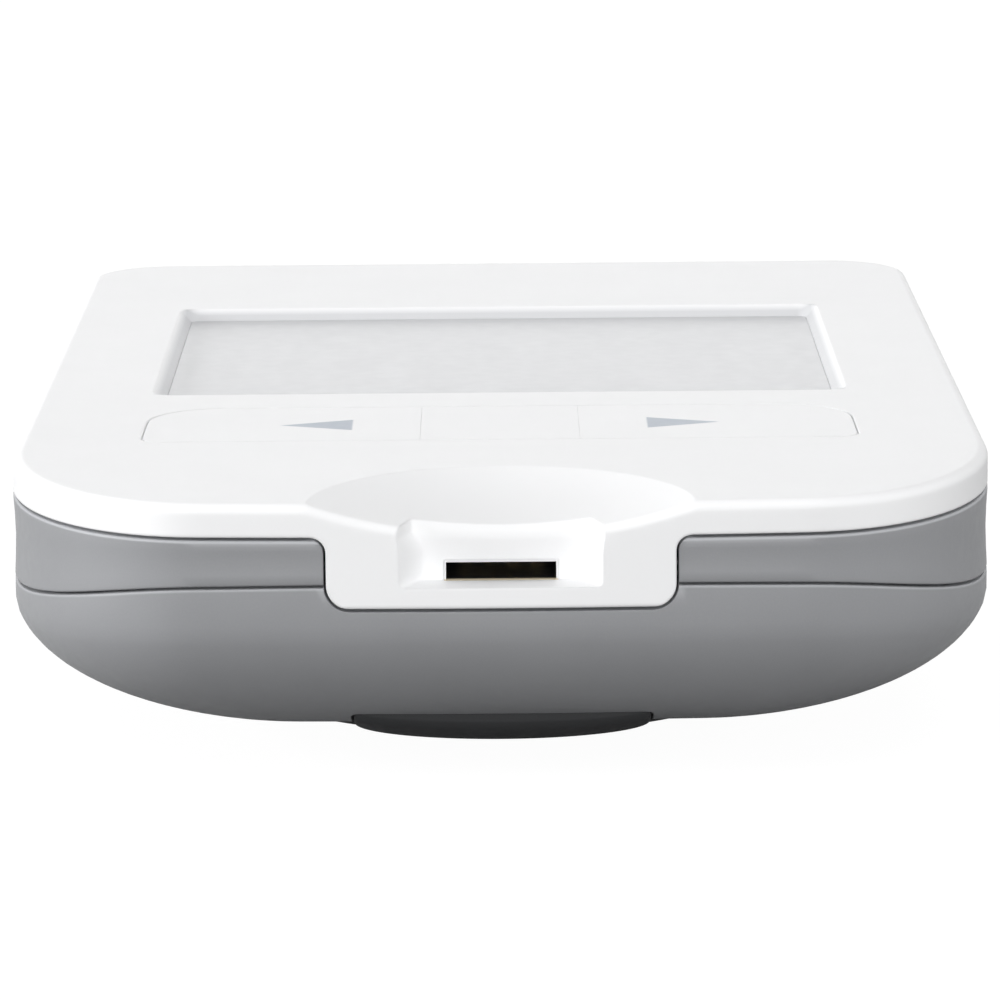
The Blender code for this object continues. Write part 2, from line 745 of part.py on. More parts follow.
def make_lower_case():
    rim = PARTING_DEPTH + GAP / 2
    rings = belly() + [ring(0.0, rim, PARTING_RISE), ring(CASE_WALL, rim, PARTING_RISE)]
    rings += list(reversed(belly(CASE_WALL)))
    case = loft("lower_case", rings, "grey_plastic")
    middle = CASE_WALL / 2
    bounds = loft("case_bounds", belly(middle) + [ring(middle, 0.0)])
    wall = COMPARTMENT_WALL
    compartment = box(
        "compartment_block",
        (-HOLLOW_HALF_WIDTH - wall, HOLLOW_FRONT - wall, below(FLAT_BOTTOM)),
        (HOLLOW_HALF_WIDTH + wall, HOLLOW_BACK + wall, below(COMPARTMENT_TOP)),
    )
    boolean(compartment, bounds, "INTERSECT")
    join(case, compartment)
    for i, (x, y) in enumerate(SCREW_PLACES, 1):
        boss = cylinder(f"boss_{i}", x, y, BOSS_RADIUS, below(FLAT_BOTTOM), below(BOSS_TOP))
        boolean(boss, bounds, "INTERSECT")
        join(case, boss)
    for i, (x, y) in enumerate(SCREW_PLACES, 1):
        head = SCREW_HEAD_RADIUS + GAP
        profile = [
            (0.0, below(BOSS_TOP - OVERRUN)),
            (SCREW_HOLE_RADIUS, below(BOSS_TOP - OVERRUN)),
            (SCREW_HOLE_RADIUS, below(SEAT_DEPTH)),
            (head, below(SEAT_DEPTH)),
            (head, below(HEIGHT + OVERRUN)),
            (0.0, below(HEIGHT + OVERRUN)),
        ]
        cut(case, turned(f"screw_cutter_{i}", x, y, profile))
    for i, (x, y) in enumerate(FOOT_PLACES, 1):
        pocket = cylinder(
            f"foot_cutter_{i}", x, y, FOOT_RADIUS + GAP, below(HEIGHT + OVERRUN), below(FOOT_POCKET)
        )
        cut(case, pocket)
    hollow = flat(
        "compartment_cutter",
        rounded(
            (-HOLLOW_HALF_WIDTH, HOLLOW_FRONT),
            (HOLLOW_HALF_WIDTH, HOLLOW_BACK),
            (COMPARTMENT_RADIUS,) * 4,
            steps=NOSE_STEPS,
        ),
        below(HEIGHT),
        below(CEILING_DEPTH),
    )
    cut(case, door_solid("door_pocket_cutter", GAP), hollow)
    cut(case, nose_block("case_nose_cutter", GAP, NOSE_LENGTH + GAP))
    for i, (x, y, width, length) in enumerate(tab_places(), 1):
        tab = box(
            f"tab_cutter_{i}",
            (x - width / 2 - GAP, y - length / 2 - GAP, below(CEILING_DEPTH + OVERRUN)),
            (x + width / 2 + GAP, y + length / 2 + GAP, below(COMPARTMENT_TOP - OVERRUN)),
        )
        cut(case, tab)
    return case


def tab_places():
    """X, Y, width and length of the contact tabs, which pass through the compartment's ceiling."""
    inward = (LEAF_LENGTH - TAB_THICKNESS) / 2
    places = [(0.0, y - inward, TAB_WIDTH, TAB_THICKNESS) for y in CELL_PLACES]
    back_x = positive_leaf_back() - TAB_THICKNESS / 2
    return places + [(back_x, sum(CELL_PLACES) / 2, TAB_THICKNESS, TAB_WIDTH)]


def positive_leaf_back():
    """X of the back of the positive leaf, which stands clear of the compartment's side wall."""
    return HOLLOW_HALF_WIDTH - GAP


def make_display():
    y = behind(OPENING_MIDDLE)
    flange_width = OPENING_WIDTH + 2 * WINDOW_FLANGE_LIP
    flange_length = OPENING_LENGTH + 2 * WINDOW_FLANGE_LIP
    window = flat(
        "display_window",
        centered(0.0, y, flange_width, flange_length, OPENING_RADIUS, NOSE_STEPS),
        below(WINDOW_BOTTOM),
        below(FLANGE_DEPTH),
        "clear_window",
    )
    raised = flat(
        "window_center",
        centered(0.0, y, WINDOW_WIDTH, WINDOW_LENGTH, OPENING_RADIUS - GAP, NOSE_STEPS),
        below(FLANGE_DEPTH + SEAT_OVERLAP),
        below(OPENING_DEPTH),
    )
    join(window, raised)
    flat(
        "lcd_panel",
        centered(0.0, y, LCD_WIDTH, LCD_LENGTH, GAP, 2),
        below(LCD_BOTTOM),
        below(LCD_DEPTH),
        "display_glass",
    )
    half_x, half_y = LCD_WIDTH / 2 + GAP, LCD_LENGTH / 2 + GAP
    holder = box(
        "lcd_holder",
        (-half_x - HOLDER_RIM, y - half_y - HOLDER_RIM, below(BOARD_TOP)),
        (half_x + HOLDER_RIM, y + half_y + HOLDER_RIM, below(LCD_DEPTH)),
        "white_plastic",
    )
    well = box(
        "lcd_well_cutter",
        (-half_x, y - half_y, below(HOLDER_TOP_OF_FLOOR)),
        (half_x, y + half_y, below(LCD_DEPTH - OVERRUN)),
    )
    strip_half = LCD_WIDTH / 2 - DISPLAY_CONNECTOR_SIDE_INSET
    strip_front = y - LCD_LENGTH / 2 + DISPLAY_CONNECTOR_INSET
    strip_back = strip_front + DISPLAY_CONNECTOR_LENGTH
    passage = box(
        "connector_passage_cutter",
        (-strip_half - GAP, strip_front - GAP, below(BOARD_TOP + OVERRUN)),
        (strip_half + GAP, strip_back + GAP, below(HOLDER_TOP_OF_FLOOR - OVERRUN)),
    )
    cut(holder, well, passage)
    box(
        "display_connector",
        (-strip_half, strip_front, below(BOARD_TOP)),
        (strip_half, strip_back, below(HOLDER_TOP_OF_FLOOR)),
        "silicone",
    )


def make_main_board():
    outline = [(x, y) for x, y, z in ring(CASE_WALL + BOARD_MARGIN, BOARD_DEPTH)]
    board = flat("main_board", outline, below(BOARD_BOTTOM), below(BOARD_DEPTH), "board_green")
    for i, (x, y) in enumerate(SCREW_PLACES, 1):
        low, high = below(BOARD_BOTTOM + OVERRUN), below(BOARD_DEPTH - OVERRUN)
        cut(board, cylinder(f"board_hole_{i}", x, y, POST_RADIUS + GAP, low, high))
    return board


def make_strip_connector():
    front = NOSE_LENGTH + GAP
    back = front + CONNECTOR_LENGTH
    body = box(
        "strip_connector",
        (-CONNECTOR_WIDTH / 2, behind(front), below(BOARD_TOP)),
        (CONNECTOR_WIDTH / 2, behind(back), below(SLOT_TOP - CONNECTOR_ROOF)),
        "ivory_plastic",
    )
    slot = box(
        "connector_slot_cutter",
        (-SLOT_WIDTH / 2, behind(front - OVERRUN), below(RECESS_FLOOR)),
        (SLOT_WIDTH / 2, behind(back + OVERRUN), below(SLOT_TOP)),
    )
    cut(body, slot)
    top = below(SLOT_TOP + (SLOT_HEIGHT - CONTACT_THICKNESS) / 2)
    bottom = top - CONTACT_THICKNESS
    tip, tail = behind(back - CONTACT_REACH), behind(back + CONTACT_TAIL)
    inner = tail - CONTACT_THICKNESS
    foot = below(BOARD_TOP)
    finger = [(tip, bottom), (inner, bottom), (inner, foot), (tail, foot), (tail, top), (tip, top)]
    for i in range(CONTACT_COUNT):
        x = CONTACT_PITCH * (i - (CONTACT_COUNT - 1) / 2)
        flat(
            f"strip_contact_{i + 1}",
            finger,
            x - CONTACT_WIDTH / 2,
            x + CONTACT_WIDTH / 2,
            "gold_contact",
            TO_SIDE_VIEW,
        )


def make_keys():
    """Each key is a cap in the bar's opening, a flange under the cover, and a stem over its switch."""
    half, inner = BAR_WIDTH / 2, CENTER_KEY_WIDTH / 2
    spans = {
        "left": (-KEY_SPACING, -half, -inner - GAP),
        "center": (0.0, -inner, inner),
        "right": (KEY_SPACING, inner + GAP, half),
    }
    y = behind(BAR_MIDDLE)
    flange_bottom = FLANGE_DEPTH + KEY_FLANGE
    stem_bottom = flange_bottom + KEY_STEM
    plunger_top = stem_bottom + GAP
    switch_top = BOARD_TOP - SWITCH_HEIGHT
    plunger_bottom = BOARD_TOP - SWITCH_FLOOR - KEY_TRAVEL - PLUNGER_OVERTRAVEL
    for side, (x, low_x, high_x) in spans.items():
        cap_bottom = below(FLANGE_DEPTH + SEAT_OVERLAP)
        key = flat(f"{side}_key", bar_outline(low_x, high_x, GAP), cap_bottom, below(0.0), "white_plastic")
        move_origin(key, x, y, below(0.0))
        left_lip = KEY_FLANGE_LIP if side == "left" else 0.0
        right_lip = KEY_FLANGE_LIP if side == "right" else 0.0
        low_y, high_y = behind(BAR_FRONT) - KEY_FLANGE_LIP, behind(BAR_FRONT + BAR_LENGTH) + KEY_FLANGE_LIP
        flange = box(
            f"{side}_flange",
            (low_x - left_lip, low_y, below(flange_bottom)),
            (high_x + right_lip, high_y, below(FLANGE_DEPTH)),
        )
        stem = cylinder(
            f"{side}_stem", x, y, STEM_RADIUS, below(stem_bottom), below(flange_bottom - SEAT_OVERLAP)
        )
        join(key, flange, stem)
        low, high = below(plunger_bottom), below(plunger_top)
        plunger = cylinder(f"{side}_plunger", x, y, PLUNGER_RADIUS, low, high, "black_plastic")
        move_origin(plunger, x, y, below(plunger_top))
        switch = box(
            f"{side}_switch",
            (x - SWITCH_WIDTH / 2, y - SWITCH_WIDTH / 2, below(BOARD_TOP)),
            (x + SWITCH_WIDTH / 2, y + SWITCH_WIDTH / 2, below(switch_top)),
            "steel",
        )
        low, high = below(BOARD_TOP - SWITCH_FLOOR), below(switch_top - OVERRUN)
        cut(switch, cylinder(f"{side}_bore", x, y, PLUNGER_RADIUS + GAP, low, high))


def make_screws():
    for i, (x, y) in enumerate(SCREW_PLACES, 1):
        top = SEAT_DEPTH + GAP
        profile = [
            (0.0, below(top) + SCREW_LENGTH),
            (SCREW_RADIUS, below(top) + SCREW_LENGTH),
            (SCREW_RADIUS, below(top)),
            (SCREW_HEAD_RADIUS, below(top)),
            (SCREW_HEAD_RADIUS, below(top + SCREW_HEAD)),
            (0.0, below(top + SCREW_HEAD)),
        ]
        turned(f"case_screw_{i}", x, y, profile, "steel", steps=ROUND_STEPS // 2)


def make_feet():
    for i, (x, y) in enumerate(FOOT_PLACES, 1):
        top = below(FOOT_POCKET + GAP)
        center = (FOOT_RADIUS - FOOT_EDGE_RADIUS, FOOT_EDGE_RADIUS)
        edge = arc(center, FOOT_EDGE_RADIUS, 0, -90, FOOT_EDGE_STEPS)
        turned(f"rubber_foot_{i}", x, y, [(0.0, top), (FOOT_RADIUS, top), *edge, (0.0, 0.0)], "rubber_grey")


def make_cells_and_contacts():
    for i, y in enumerate(CELL_PLACES, 1):
        cap_bottom = CELL_TOP + CELL_CAP_STEP
        profile = [
            (0.0, below(CELL_TOP)),
            (CELL_CAP_RADIUS, below(CELL_TOP)),
            (CELL_CAP_RADIUS, below(cap_bottom)),
            (CELL_RADIUS, below(cap_bottom)),
            (CELL_RADIUS, below(CELL_BOTTOM)),
            (0.0, below(CELL_BOTTOM)),
        ]
        turned(f"battery_cell_{i}", 0.0, y, profile, "steel")
        leaf_top = LEAF_BOTTOM - LEAF_THICKNESS
        leaf = box(
            f"negative_contact_{i}",
            (-LEAF_WIDTH / 2, y - LEAF_LENGTH / 2, below(LEAF_BOTTOM)),
            (LEAF_WIDTH / 2, y + LEAF_LENGTH / 2, below(leaf_top)),
            "gold_contact",
        )
        tab_x, tab_y, width, length = tab_places()[i - 1]
        tab = box(
            f"negative_tab_{i}",
            (tab_x - width / 2, tab_y - length / 2, below(LEAF_BOTTOM - LEAF_THICKNESS / 2)),
            (tab_x + width / 2, tab_y + length / 2, below(UNDER_BOARD)),
        )
        join(leaf, tab)
    make_positive_contact()


def make_positive_contact():
    """A bowed leaf in the waist between the two cells, with a tab up to the board."""
    y = sum(CELL_PLACES) / 2
    back = positive_leaf_back()
    half = POSITIVE_LEAF_SPAN / 2
    shares = [2 * i / POSITIVE_LEAF_STEPS - 1 for i in range(POSITIVE_LEAF_STEPS + 1)]
    outer = [(back - POSITIVE_LEAF_BOW * share**2, y + half * share) for share in shares]
    inner = [(x - POSITIVE_LEAF_THICKNESS, py) for x, py in reversed(outer)]
    leaf = flat(
        "positive_contact",
        outer + inner,
        below(CELL_BOTTOM - SEAT_OVERLAP),
        below(CELL_BOTTOM - POSITIVE_LEAF_DEPTH),
        "gold_contact",
    )
    tab_x, tab_y, width, length = tab_places()[-1]
    tab = box(
        "positive_tab",
        (tab_x - width / 2, tab_y - length / 2, below(CELL_BOTTOM - POSITIVE_LEAF_DEPTH / 2)),
        (tab_x + width / 2, tab_y + length / 2, below(UNDER_BOARD)),
    )
    join(leaf, tab)


def make_board_parts():
    for name, (x, distance, width, length, height) in CHIPS.items():
        y = behind(distance)
        box(
            name,
            (x - width / 2, y - length / 2, below(UNDER_BOARD + height)),
            (x + width / 2, y + length / 2, below(UNDER_BOARD)),
            "steel" if name == "clock_crystal" else "black_plastic",
        )
    bottom = UNDER_BOARD + BUZZER_HEIGHT
    profile = [
        (0.0, below(UNDER_BOARD)),
        (BUZZER_RADIUS, below(UNDER_BOARD)),
        (BUZZER_RADIUS, below(bottom)),
        (BUZZER_PORT_RADIUS, below(bottom)),
        (BUZZER_PORT_RADIUS, below(bottom - BUZZER_PORT_DEPTH)),
        (0.0, below(bottom - BUZZER_PORT_DEPTH)),
    ]
    turned("buzzer", 0.0, behind(LENGTH - BUZZER_BACK), profile, "black_plastic")


def make_battery_door():
    door = door_solid("battery_door", 0.0, "dark_grey_plastic")
    return move_origin(door, 0.0, behind((TONGUE_FRONT + DOOR_BACK) / 2), below(DOOR_TOP))


make_top_cover()
make_middle_frame()
make_lower_case()
make_display()
make_main_board()
make_strip_connector()
make_keys()
make_screws()
make_feet()
make_cells_and_contacts()
make_board_parts()
make_battery_door()
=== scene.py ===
"""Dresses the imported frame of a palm-size blood glucose meter and sets its stage.

Lengths are in metres. A place is given by its distance behind the front face and its depth below the flat of
the cover.
"""

import json
import math

import bmesh
import bpy
import numpy as np
from mathutils import Matrix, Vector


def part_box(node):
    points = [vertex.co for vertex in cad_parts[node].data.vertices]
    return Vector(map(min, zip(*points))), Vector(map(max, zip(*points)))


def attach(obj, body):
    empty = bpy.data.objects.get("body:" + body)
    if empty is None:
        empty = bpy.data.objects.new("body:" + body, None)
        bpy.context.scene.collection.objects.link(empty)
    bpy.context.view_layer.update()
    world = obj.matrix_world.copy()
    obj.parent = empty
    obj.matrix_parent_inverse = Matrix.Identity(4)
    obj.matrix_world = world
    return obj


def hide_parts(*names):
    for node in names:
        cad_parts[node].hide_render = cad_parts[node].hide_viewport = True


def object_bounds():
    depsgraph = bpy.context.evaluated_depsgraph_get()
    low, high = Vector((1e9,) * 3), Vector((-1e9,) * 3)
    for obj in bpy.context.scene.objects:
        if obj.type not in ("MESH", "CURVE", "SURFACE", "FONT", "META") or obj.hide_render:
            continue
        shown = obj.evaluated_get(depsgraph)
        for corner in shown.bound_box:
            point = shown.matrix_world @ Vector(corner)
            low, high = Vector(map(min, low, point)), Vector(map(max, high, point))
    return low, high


bl_info = {
    "name": "Blood glucose meter",
    "version": (1, 0, 0),
    "blender": (4, 5, 0),
    "location": "View3D > Sidebar > Meter",
    "description": "Builds the outer pieces of a blood glucose meter round its CAD frame",
    "category": "Object",
}

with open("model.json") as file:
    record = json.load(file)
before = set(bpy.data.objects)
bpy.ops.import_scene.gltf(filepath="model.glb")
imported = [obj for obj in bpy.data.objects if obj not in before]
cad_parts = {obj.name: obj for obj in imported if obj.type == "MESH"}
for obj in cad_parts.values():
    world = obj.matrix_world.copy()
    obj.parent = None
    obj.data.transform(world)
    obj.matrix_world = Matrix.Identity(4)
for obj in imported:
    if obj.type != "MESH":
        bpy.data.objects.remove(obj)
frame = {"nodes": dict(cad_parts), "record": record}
CAD_BOX = [list(corner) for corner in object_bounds()]

MM = 0.001
FRONT, BACK = CAD_BOX[0][1], CAD_BOX[1][1]
TOP = CAD_BOX[1][2]
HALF_WIDTH = CAD_BOX[1][0]
LENGTH = BACK - FRONT

# The outline from above, as in the frame
FRONT_CORNER, FRONT_REACH, BACK_CORNER = 11.8 * MM, 16.8 * MM, 5.5 * MM
FRONT_BOW = 1.75 * MM
CORNER_STEPS, SIDE_STEPS, FRONT_STEPS, BACK_STEPS = 20, 30, 72, 36

# Seams of the shells
SKIRT, SKIRT_DROP = 2.0 * MM, 0.17 * MM
PARTING, PARTING_RISE, RISE_LENGTH = 7.34 * MM, 2.6 * MM, 16.0 * MM
COVER_PLATE, COVER_WALL = 1.5 * MM, 1.6 * MM
FRAME_WALL, FRAME_WAIST = 1.8 * MM, 0.1 * MM
CASE_WALL = 2.0 * MM
EDGE = 0.2 * MM

# Belly of the lower case
CREASE, CREASE_RISE = 8.85 * MM, 1.5 * MM
FLAT_BOTTOM = 16.12 * MM
BELLY_SIDE, BELLY_FRONT, BELLY_BACK, BELLY_RADIUS = 18.0 * MM, 17.4 * MM, 16.0 * MM, 3.0 * MM
BELLY_START = math.radians(7)
BELLY_ROWS = 30

# Nose, recess, slot and scoop
NOSE_HALF, NOSE_DEPTH, NOSE_LENGTH = 10.03 * MM, 6.13 * MM, 3.6 * MM
NOSE_CORNER, NOSE_FLARE, NOSE_EDGE = 1.4 * MM, 0.9 * MM, 0.2 * MM
RECESS_MOUTH, RECESS_BACK, RECESS_LENGTH, RECESS_FLOOR = 6.15 * MM, 4.35 * MM, 2.2 * MM, 4.9 * MM
RECESS_CORNER, RECESS_LEAN, RECESS_WIDER, RECESS_LIP = 0.4 * MM, 0.45 * MM, 0.7 * MM, 0.12 * MM
SLOT_HALF, SLOT_TOP = 3.175 * MM, 3.85 * MM
# The first of these is the distance behind the front face past which the connector is painted black as painted
# shade.
PAINTED_SHADE_START, COLLAR_FRONT, COLLAR_WALL = 2.6 * MM, 2.24 * MM, 0.11 * MM
SCOOP_RADIUS, SCOOP_DEPTH, SCOOP_CENTER = 11.2 * MM, 1.8 * MM, 0.2 * MM
LIP_RADIUS = 0.62 * MM

# Display opening and key bar
OPENING = (22.0 * MM, 16.5 * MM)
OPENING_MIDDLE = 51.8 * MM
BAR_HALF, BAR_FRONT, BAR_BACK = 21.8 * MM, 19.5 * MM, 30.5 * MM
BAR_FRONT_CORNER, BAR_BACK_CORNER = 1.2 * MM, 4.5 * MM
CENTER_KEY_HALF = 4.85 * MM
KEY_SPACING, STEM_RADIUS = 11.0 * MM, 1.5 * MM
GROOVE = 0.13 * MM
ARROW_TIP, ARROW_LENGTH, ARROW_MIDDLE, ARROW_HALF = 13.5 * MM, 4.45 * MM, 24.6 * MM, 1.7 * MM

# Screws and feet
SCREWS = [(sx * 20.5 * MM, d * MM) for sx in (-1, 1) for d in (13.0, 76.0)]
FEET = [(sx * 14.7 * MM, d * MM) for sx in (-1, 1) for d in (26.0, 64.0)]
POST_RADIUS, PILOT_RADIUS, BOSS_RADIUS = 2.5 * MM, 1.3 * MM, 3.5 * MM
WELL_RADIUS, WELL_TOP, PAST_BOTTOM = 2.3 * MM, 12.2 * MM, 18.5 * MM
FOOT_RADIUS, FOOT_ROUND, FOOT_WELL = 2.3 * MM, 0.4 * MM, 2.45 * MM
FOOT_TOP, FOOT_SOLE, SOLE_RADIUS = 15.2 * MM, 17.5 * MM, 1.85 * MM

# Battery door and compartment
TONGUE_FRONT, TONGUE_HALF = 6.5 * MM, 8.65 * MM
DOOR_HALF, DOOR_END, DOOR_CORNER = 11.8 * MM, 62.5 * MM, 2.5 * MM
SHOULDER, SHOULDER_LENGTH = 13.5 * MM, 3.5 * MM
DOOR_EMBED, DOOR_PROUD, DOOR_CROWN = 1.0 * MM, 0.08 * MM, 1.1 * MM
HOLLOW_HALF, HOLLOW_FRONT, HOLLOW_BACK, HOLLOW_TOP = 10.3 * MM, 18.7 * MM, 59.9 * MM, 10.8 * MM
HOLLOW_WALL = 1.2 * MM

# Camera: lens in millimetres, angle below the horizon and roll in degrees, and its place by the front and the top
LENS, PITCH, ROLL = 191.56, 11.58, -0.5
CAMERA_SIDE, CAMERA_AWAY, CAMERA_ABOVE = -0.03 * MM, 0.297, 61.1 * MM

# Soft boxes: place, turn about X and about Z in degrees, side in metres and power in watts
LAMPS = {
    "top_box": ((0.0, -0.25, 0.88), (16.0, 0.0), 1.0, 4.35),
    "front_box": ((0.0, -1.1, 0.11), (85.0, 0.0), 0.34, 7.9),
    "left_box": ((-1.2, -0.12, 0.2), (82.0, -88.0), 0.6, 15.5),
    "right_box": ((1.2, -0.12, 0.2), (82.0, 88.0), 0.6, 5.8),
    "back_box": ((0.0, 1.2, 0.3), (80.0, 180.0), 0.7, 1.6),
}

# Strength of the white world for soft light
WORLD_LIGHT = 0.18


class MeterSizes(bpy.types.PropertyGroup):
    """Sizes and colours of the dressed meter that a user would change."""

    roll_width: bpy.props.FloatProperty(
        name="Roll width", description="Width of the rounded edge of the cover, from above",
        default=0.00085, min=0.0003, max=0.002, unit="LENGTH", precision=5)
    roll_depth: bpy.props.FloatProperty(
        name="Roll depth", description="Depth over which the edge of the cover turns down",
        default=0.0006, min=0.0003, max=0.0015, unit="LENGTH", precision=5)
    seam: bpy.props.FloatProperty(
        name="Seam", description="Open gap between the cover, the frame and the lower case",
        default=0.00014, min=0.00004, max=0.0003, unit="LENGTH", precision=5)
    key_gap: bpy.props.FloatProperty(
        name="Key gap", description="Open gap round the key bar",
        default=0.0001, min=0.00003, max=0.0003, unit="LENGTH", precision=5)
    door_gap: bpy.props.FloatProperty(
        name="Door gap", description="Open gap round the battery door",
        default=0.00015, min=0.00005, max=0.0003, unit="LENGTH", precision=5)
    cover_colour: bpy.props.FloatVectorProperty(
        name="Cover", description="White of the cover and the keys",
        subtype="COLOR", size=4, default=(0.885, 0.888, 0.895, 1.0))
    case_colour: bpy.props.FloatVectorProperty(
        name="Case", description="Grey of the frame and the lower case",
        subtype="COLOR", size=4, default=(0.298, 0.303, 0.315, 1.0))
    # The door's colour is a dark grey, darkened further as painted shade for the shadow on it under the belly.
    door_grey_and_shade: bpy.props.FloatVectorProperty(
        name="Door", description="Dark grey of the battery door",
        subtype="COLOR", size=4, default=(0.046, 0.047, 0.049, 1.0))
    window_colour: bpy.props.FloatVectorProperty(
        name="Window", description="Pale grey of the display window",
        subtype="COLOR", size=4, default=(0.62, 0.626, 0.64, 1.0))
    arrow_colour: bpy.props.FloatVectorProperty(
        name="Arrows", description="Blue grey of the arrow marks on the keys",
        subtype="COLOR", size=4, default=(0.43, 0.47, 0.53, 1.0))


def sizes():
    return bpy.context.scene.meter_sizes


def behind(distance):
    """Y of a place this far behind the front face."""
    return FRONT + distance


def below(depth):
    """Z of a place this deep below the flat of the cover."""
    return TOP - depth


def bow(points):
    """How far the bowed front draws points back: the squared share of the half width, fading to the back."""
    share = (points[:, 0] / HALF_WIDTH) ** 2
    return FRONT_BOW * share * (0.5 - (points[:, 1] - (FRONT + BACK) / 2) / LENGTH)


def corner_arc(center, radii, start):
    """A quarter ellipse anticlockwise from a start angle."""
    turn = start + np.linspace(0.0, math.pi / 2, CORNER_STEPS + 1)
    return np.stack([center[0] + radii[0] * np.cos(turn), center[1] + radii[1] * np.sin(turn)], axis=1)


def outline(side, front, back, corner, reach, back_corner):
    """The meter's outline drawn in by these insets: four quarter ellipses and straight stretches, bowed."""
    x, low, high = HALF_WIDTH - side, FRONT + front, BACK - back
    arcs = [
        corner_arc((x - corner, low + reach), (corner, reach), -math.pi / 2),
        corner_arc((x - back_corner, high - back_corner), (back_corner, back_corner), 0.0),
        corner_arc((back_corner - x, high - back_corner), (back_corner, back_corner), math.pi / 2),
        corner_arc((corner - x, low + reach), (corner, reach), math.pi),
    ]
    parts = []
    for i, steps in enumerate((SIDE_STEPS, BACK_STEPS, SIDE_STEPS, FRONT_STEPS)):
        first, last = arcs[i][-1], arcs[(i + 1) % 4][0]
        share = np.linspace(0.0, 1.0, steps + 1)[1:-1, None]
        parts += [arcs[i], first + (last - first) * share]
    points = np.concatenate(parts)
    points[:, 1] += bow(points)
    return points


RIM = outline(0.0, 0.0, 0.0, FRONT_CORNER, FRONT_REACH, BACK_CORNER)
RISE = np.maximum(0.0, 1.0 - (RIM[:, 1] - FRONT) / RISE_LENGTH) ** 2


def ring(inset, depth, rise=0.0):
    """The outline drawn in evenly, at a depth that rises with the square of the nearness to the front."""
    points = outline(inset, inset, inset, FRONT_CORNER - inset, FRONT_REACH - inset, BACK_CORNER - inset)
    return np.column_stack([points, below(depth) + rise * RISE])


def seam_ring(inset, depth):
    """A ring at the cover's seam, which drops a little from the front towards the sides."""
    return ring(inset, depth + SKIRT_DROP, SKIRT_DROP)


def belly_ring(turn, wall=0.0):
    """One ring of the belly: a quarter ellipse that starts a little inward, from the crease to the flat."""
    inward = 1.0 - math.cos(turn) / math.cos(BELLY_START)
    drop = (math.sin(turn) - math.sin(BELLY_START)) / (1.0 - math.sin(BELLY_START))

    def drawn(rim, bottom):
        return rim + (bottom - rim) * inward

    points = outline(
        drawn(wall, BELLY_SIDE), drawn(wall, BELLY_FRONT), drawn(wall, BELLY_BACK),
        drawn(FRONT_CORNER - wall, BELLY_RADIUS), drawn(FRONT_REACH - wall, BELLY_RADIUS),
        drawn(BACK_CORNER - wall, BELLY_RADIUS),
    )
    z = below(CREASE + (FLAT_BOTTOM - CREASE - wall) * drop) + CREASE_RISE * (1.0 - drop) * RISE
    return np.column_stack([points, z])


def belly(wall, rows):
    """Belly rings from the crease down to the flat bottom."""
    return [belly_ring(turn, wall) for turn in np.linspace(BELLY_START, math.pi / 2, rows)]


def belly_depth(x, distance):
    """Depth of the belly's outer face at plan points: the nearer of front and side sets the ellipse."""
    edge = FRONT_BOW * (x / HALF_WIDTH) ** 2 * (1.0 - distance / LENGTH)
    front = np.clip((distance - edge) / BELLY_FRONT, 0.0, 1.0)
    side = np.clip((HALF_WIDTH - np.abs(x)) / BELLY_SIDE, 0.0, 1.0)
    cosine = np.cos(BELLY_START) * (1.0 - np.minimum(front, side))
    drop = (np.sqrt(1.0 - cosine**2) - math.sin(BELLY_START)) / (1.0 - math.sin(BELLY_START))
    rise = np.where(front < side, CREASE_RISE * np.maximum(0.0, 1.0 - edge / RISE_LENGTH) ** 2, 0.0)
    return CREASE + (FLAT_BOTTOM - CREASE) * drop - rise * (1.0 - drop)


def skin(name, rows, around=False):
    """A closed skin through rings of as many points, with flat ends or carried round to the first ring."""
    rows = np.asarray(rows)
    count, columns = rows.shape[:2]
    index = np.arange(count * columns).reshape(count, columns)
    first, second = (index, np.roll(index, -1, axis=0)) if around else (index[:-1], index[1:])
    quads = np.stack([first, np.roll(first, -1, axis=1), np.roll(second, -1, axis=1), second], axis=-1)
    faces = quads.reshape(-1, 4).tolist()
    if not around:
        faces += [index[0].tolist(), index[-1].tolist()]
    return closed(name, rows.reshape(-1, 3), faces)


def closed(name, points, faces):
    """A closed solid from points and faces, with its faces turned outwards."""
    mesh = bpy.data.meshes.new(name)
    mesh.from_pydata(points.tolist(), [], faces)
    work = bmesh.new()
    work.from_mesh(mesh)
    bmesh.ops.remove_doubles(work, verts=work.verts, dist=1e-7)
    bmesh.ops.recalc_face_normals(work, faces=work.faces)
    work.to_mesh(mesh)
    work.free()
    made = bpy.data.objects.new(name, mesh)
    bpy.context.scene.collection.objects.link(made)
    return made


def turned(name, x, distance, profile, steps=64, swell=None):
    """A profile of radius and depth turned about an upright axis; swell moves its points by their place."""
    profile = np.asarray(profile, dtype=float)
    turn = np.linspace(0.0, 2 * math.pi, steps, endpoint=False)
    rows = np.empty((len(profile), steps, 3))
    rows[..., 0] = profile[:, :1] * np.cos(turn)
    rows[..., 1] = profile[:, :1] * np.sin(turn)
    rows[..., 2] = below(profile[:, 1:2])
    if swell is not None:
        rows[..., 2] += swell(rows[..., 0], rows[..., 1], profile[:, 1:2])
    rows[..., 0] += x
    rows[..., 1] += behind(distance)
    return skin(name, rows)


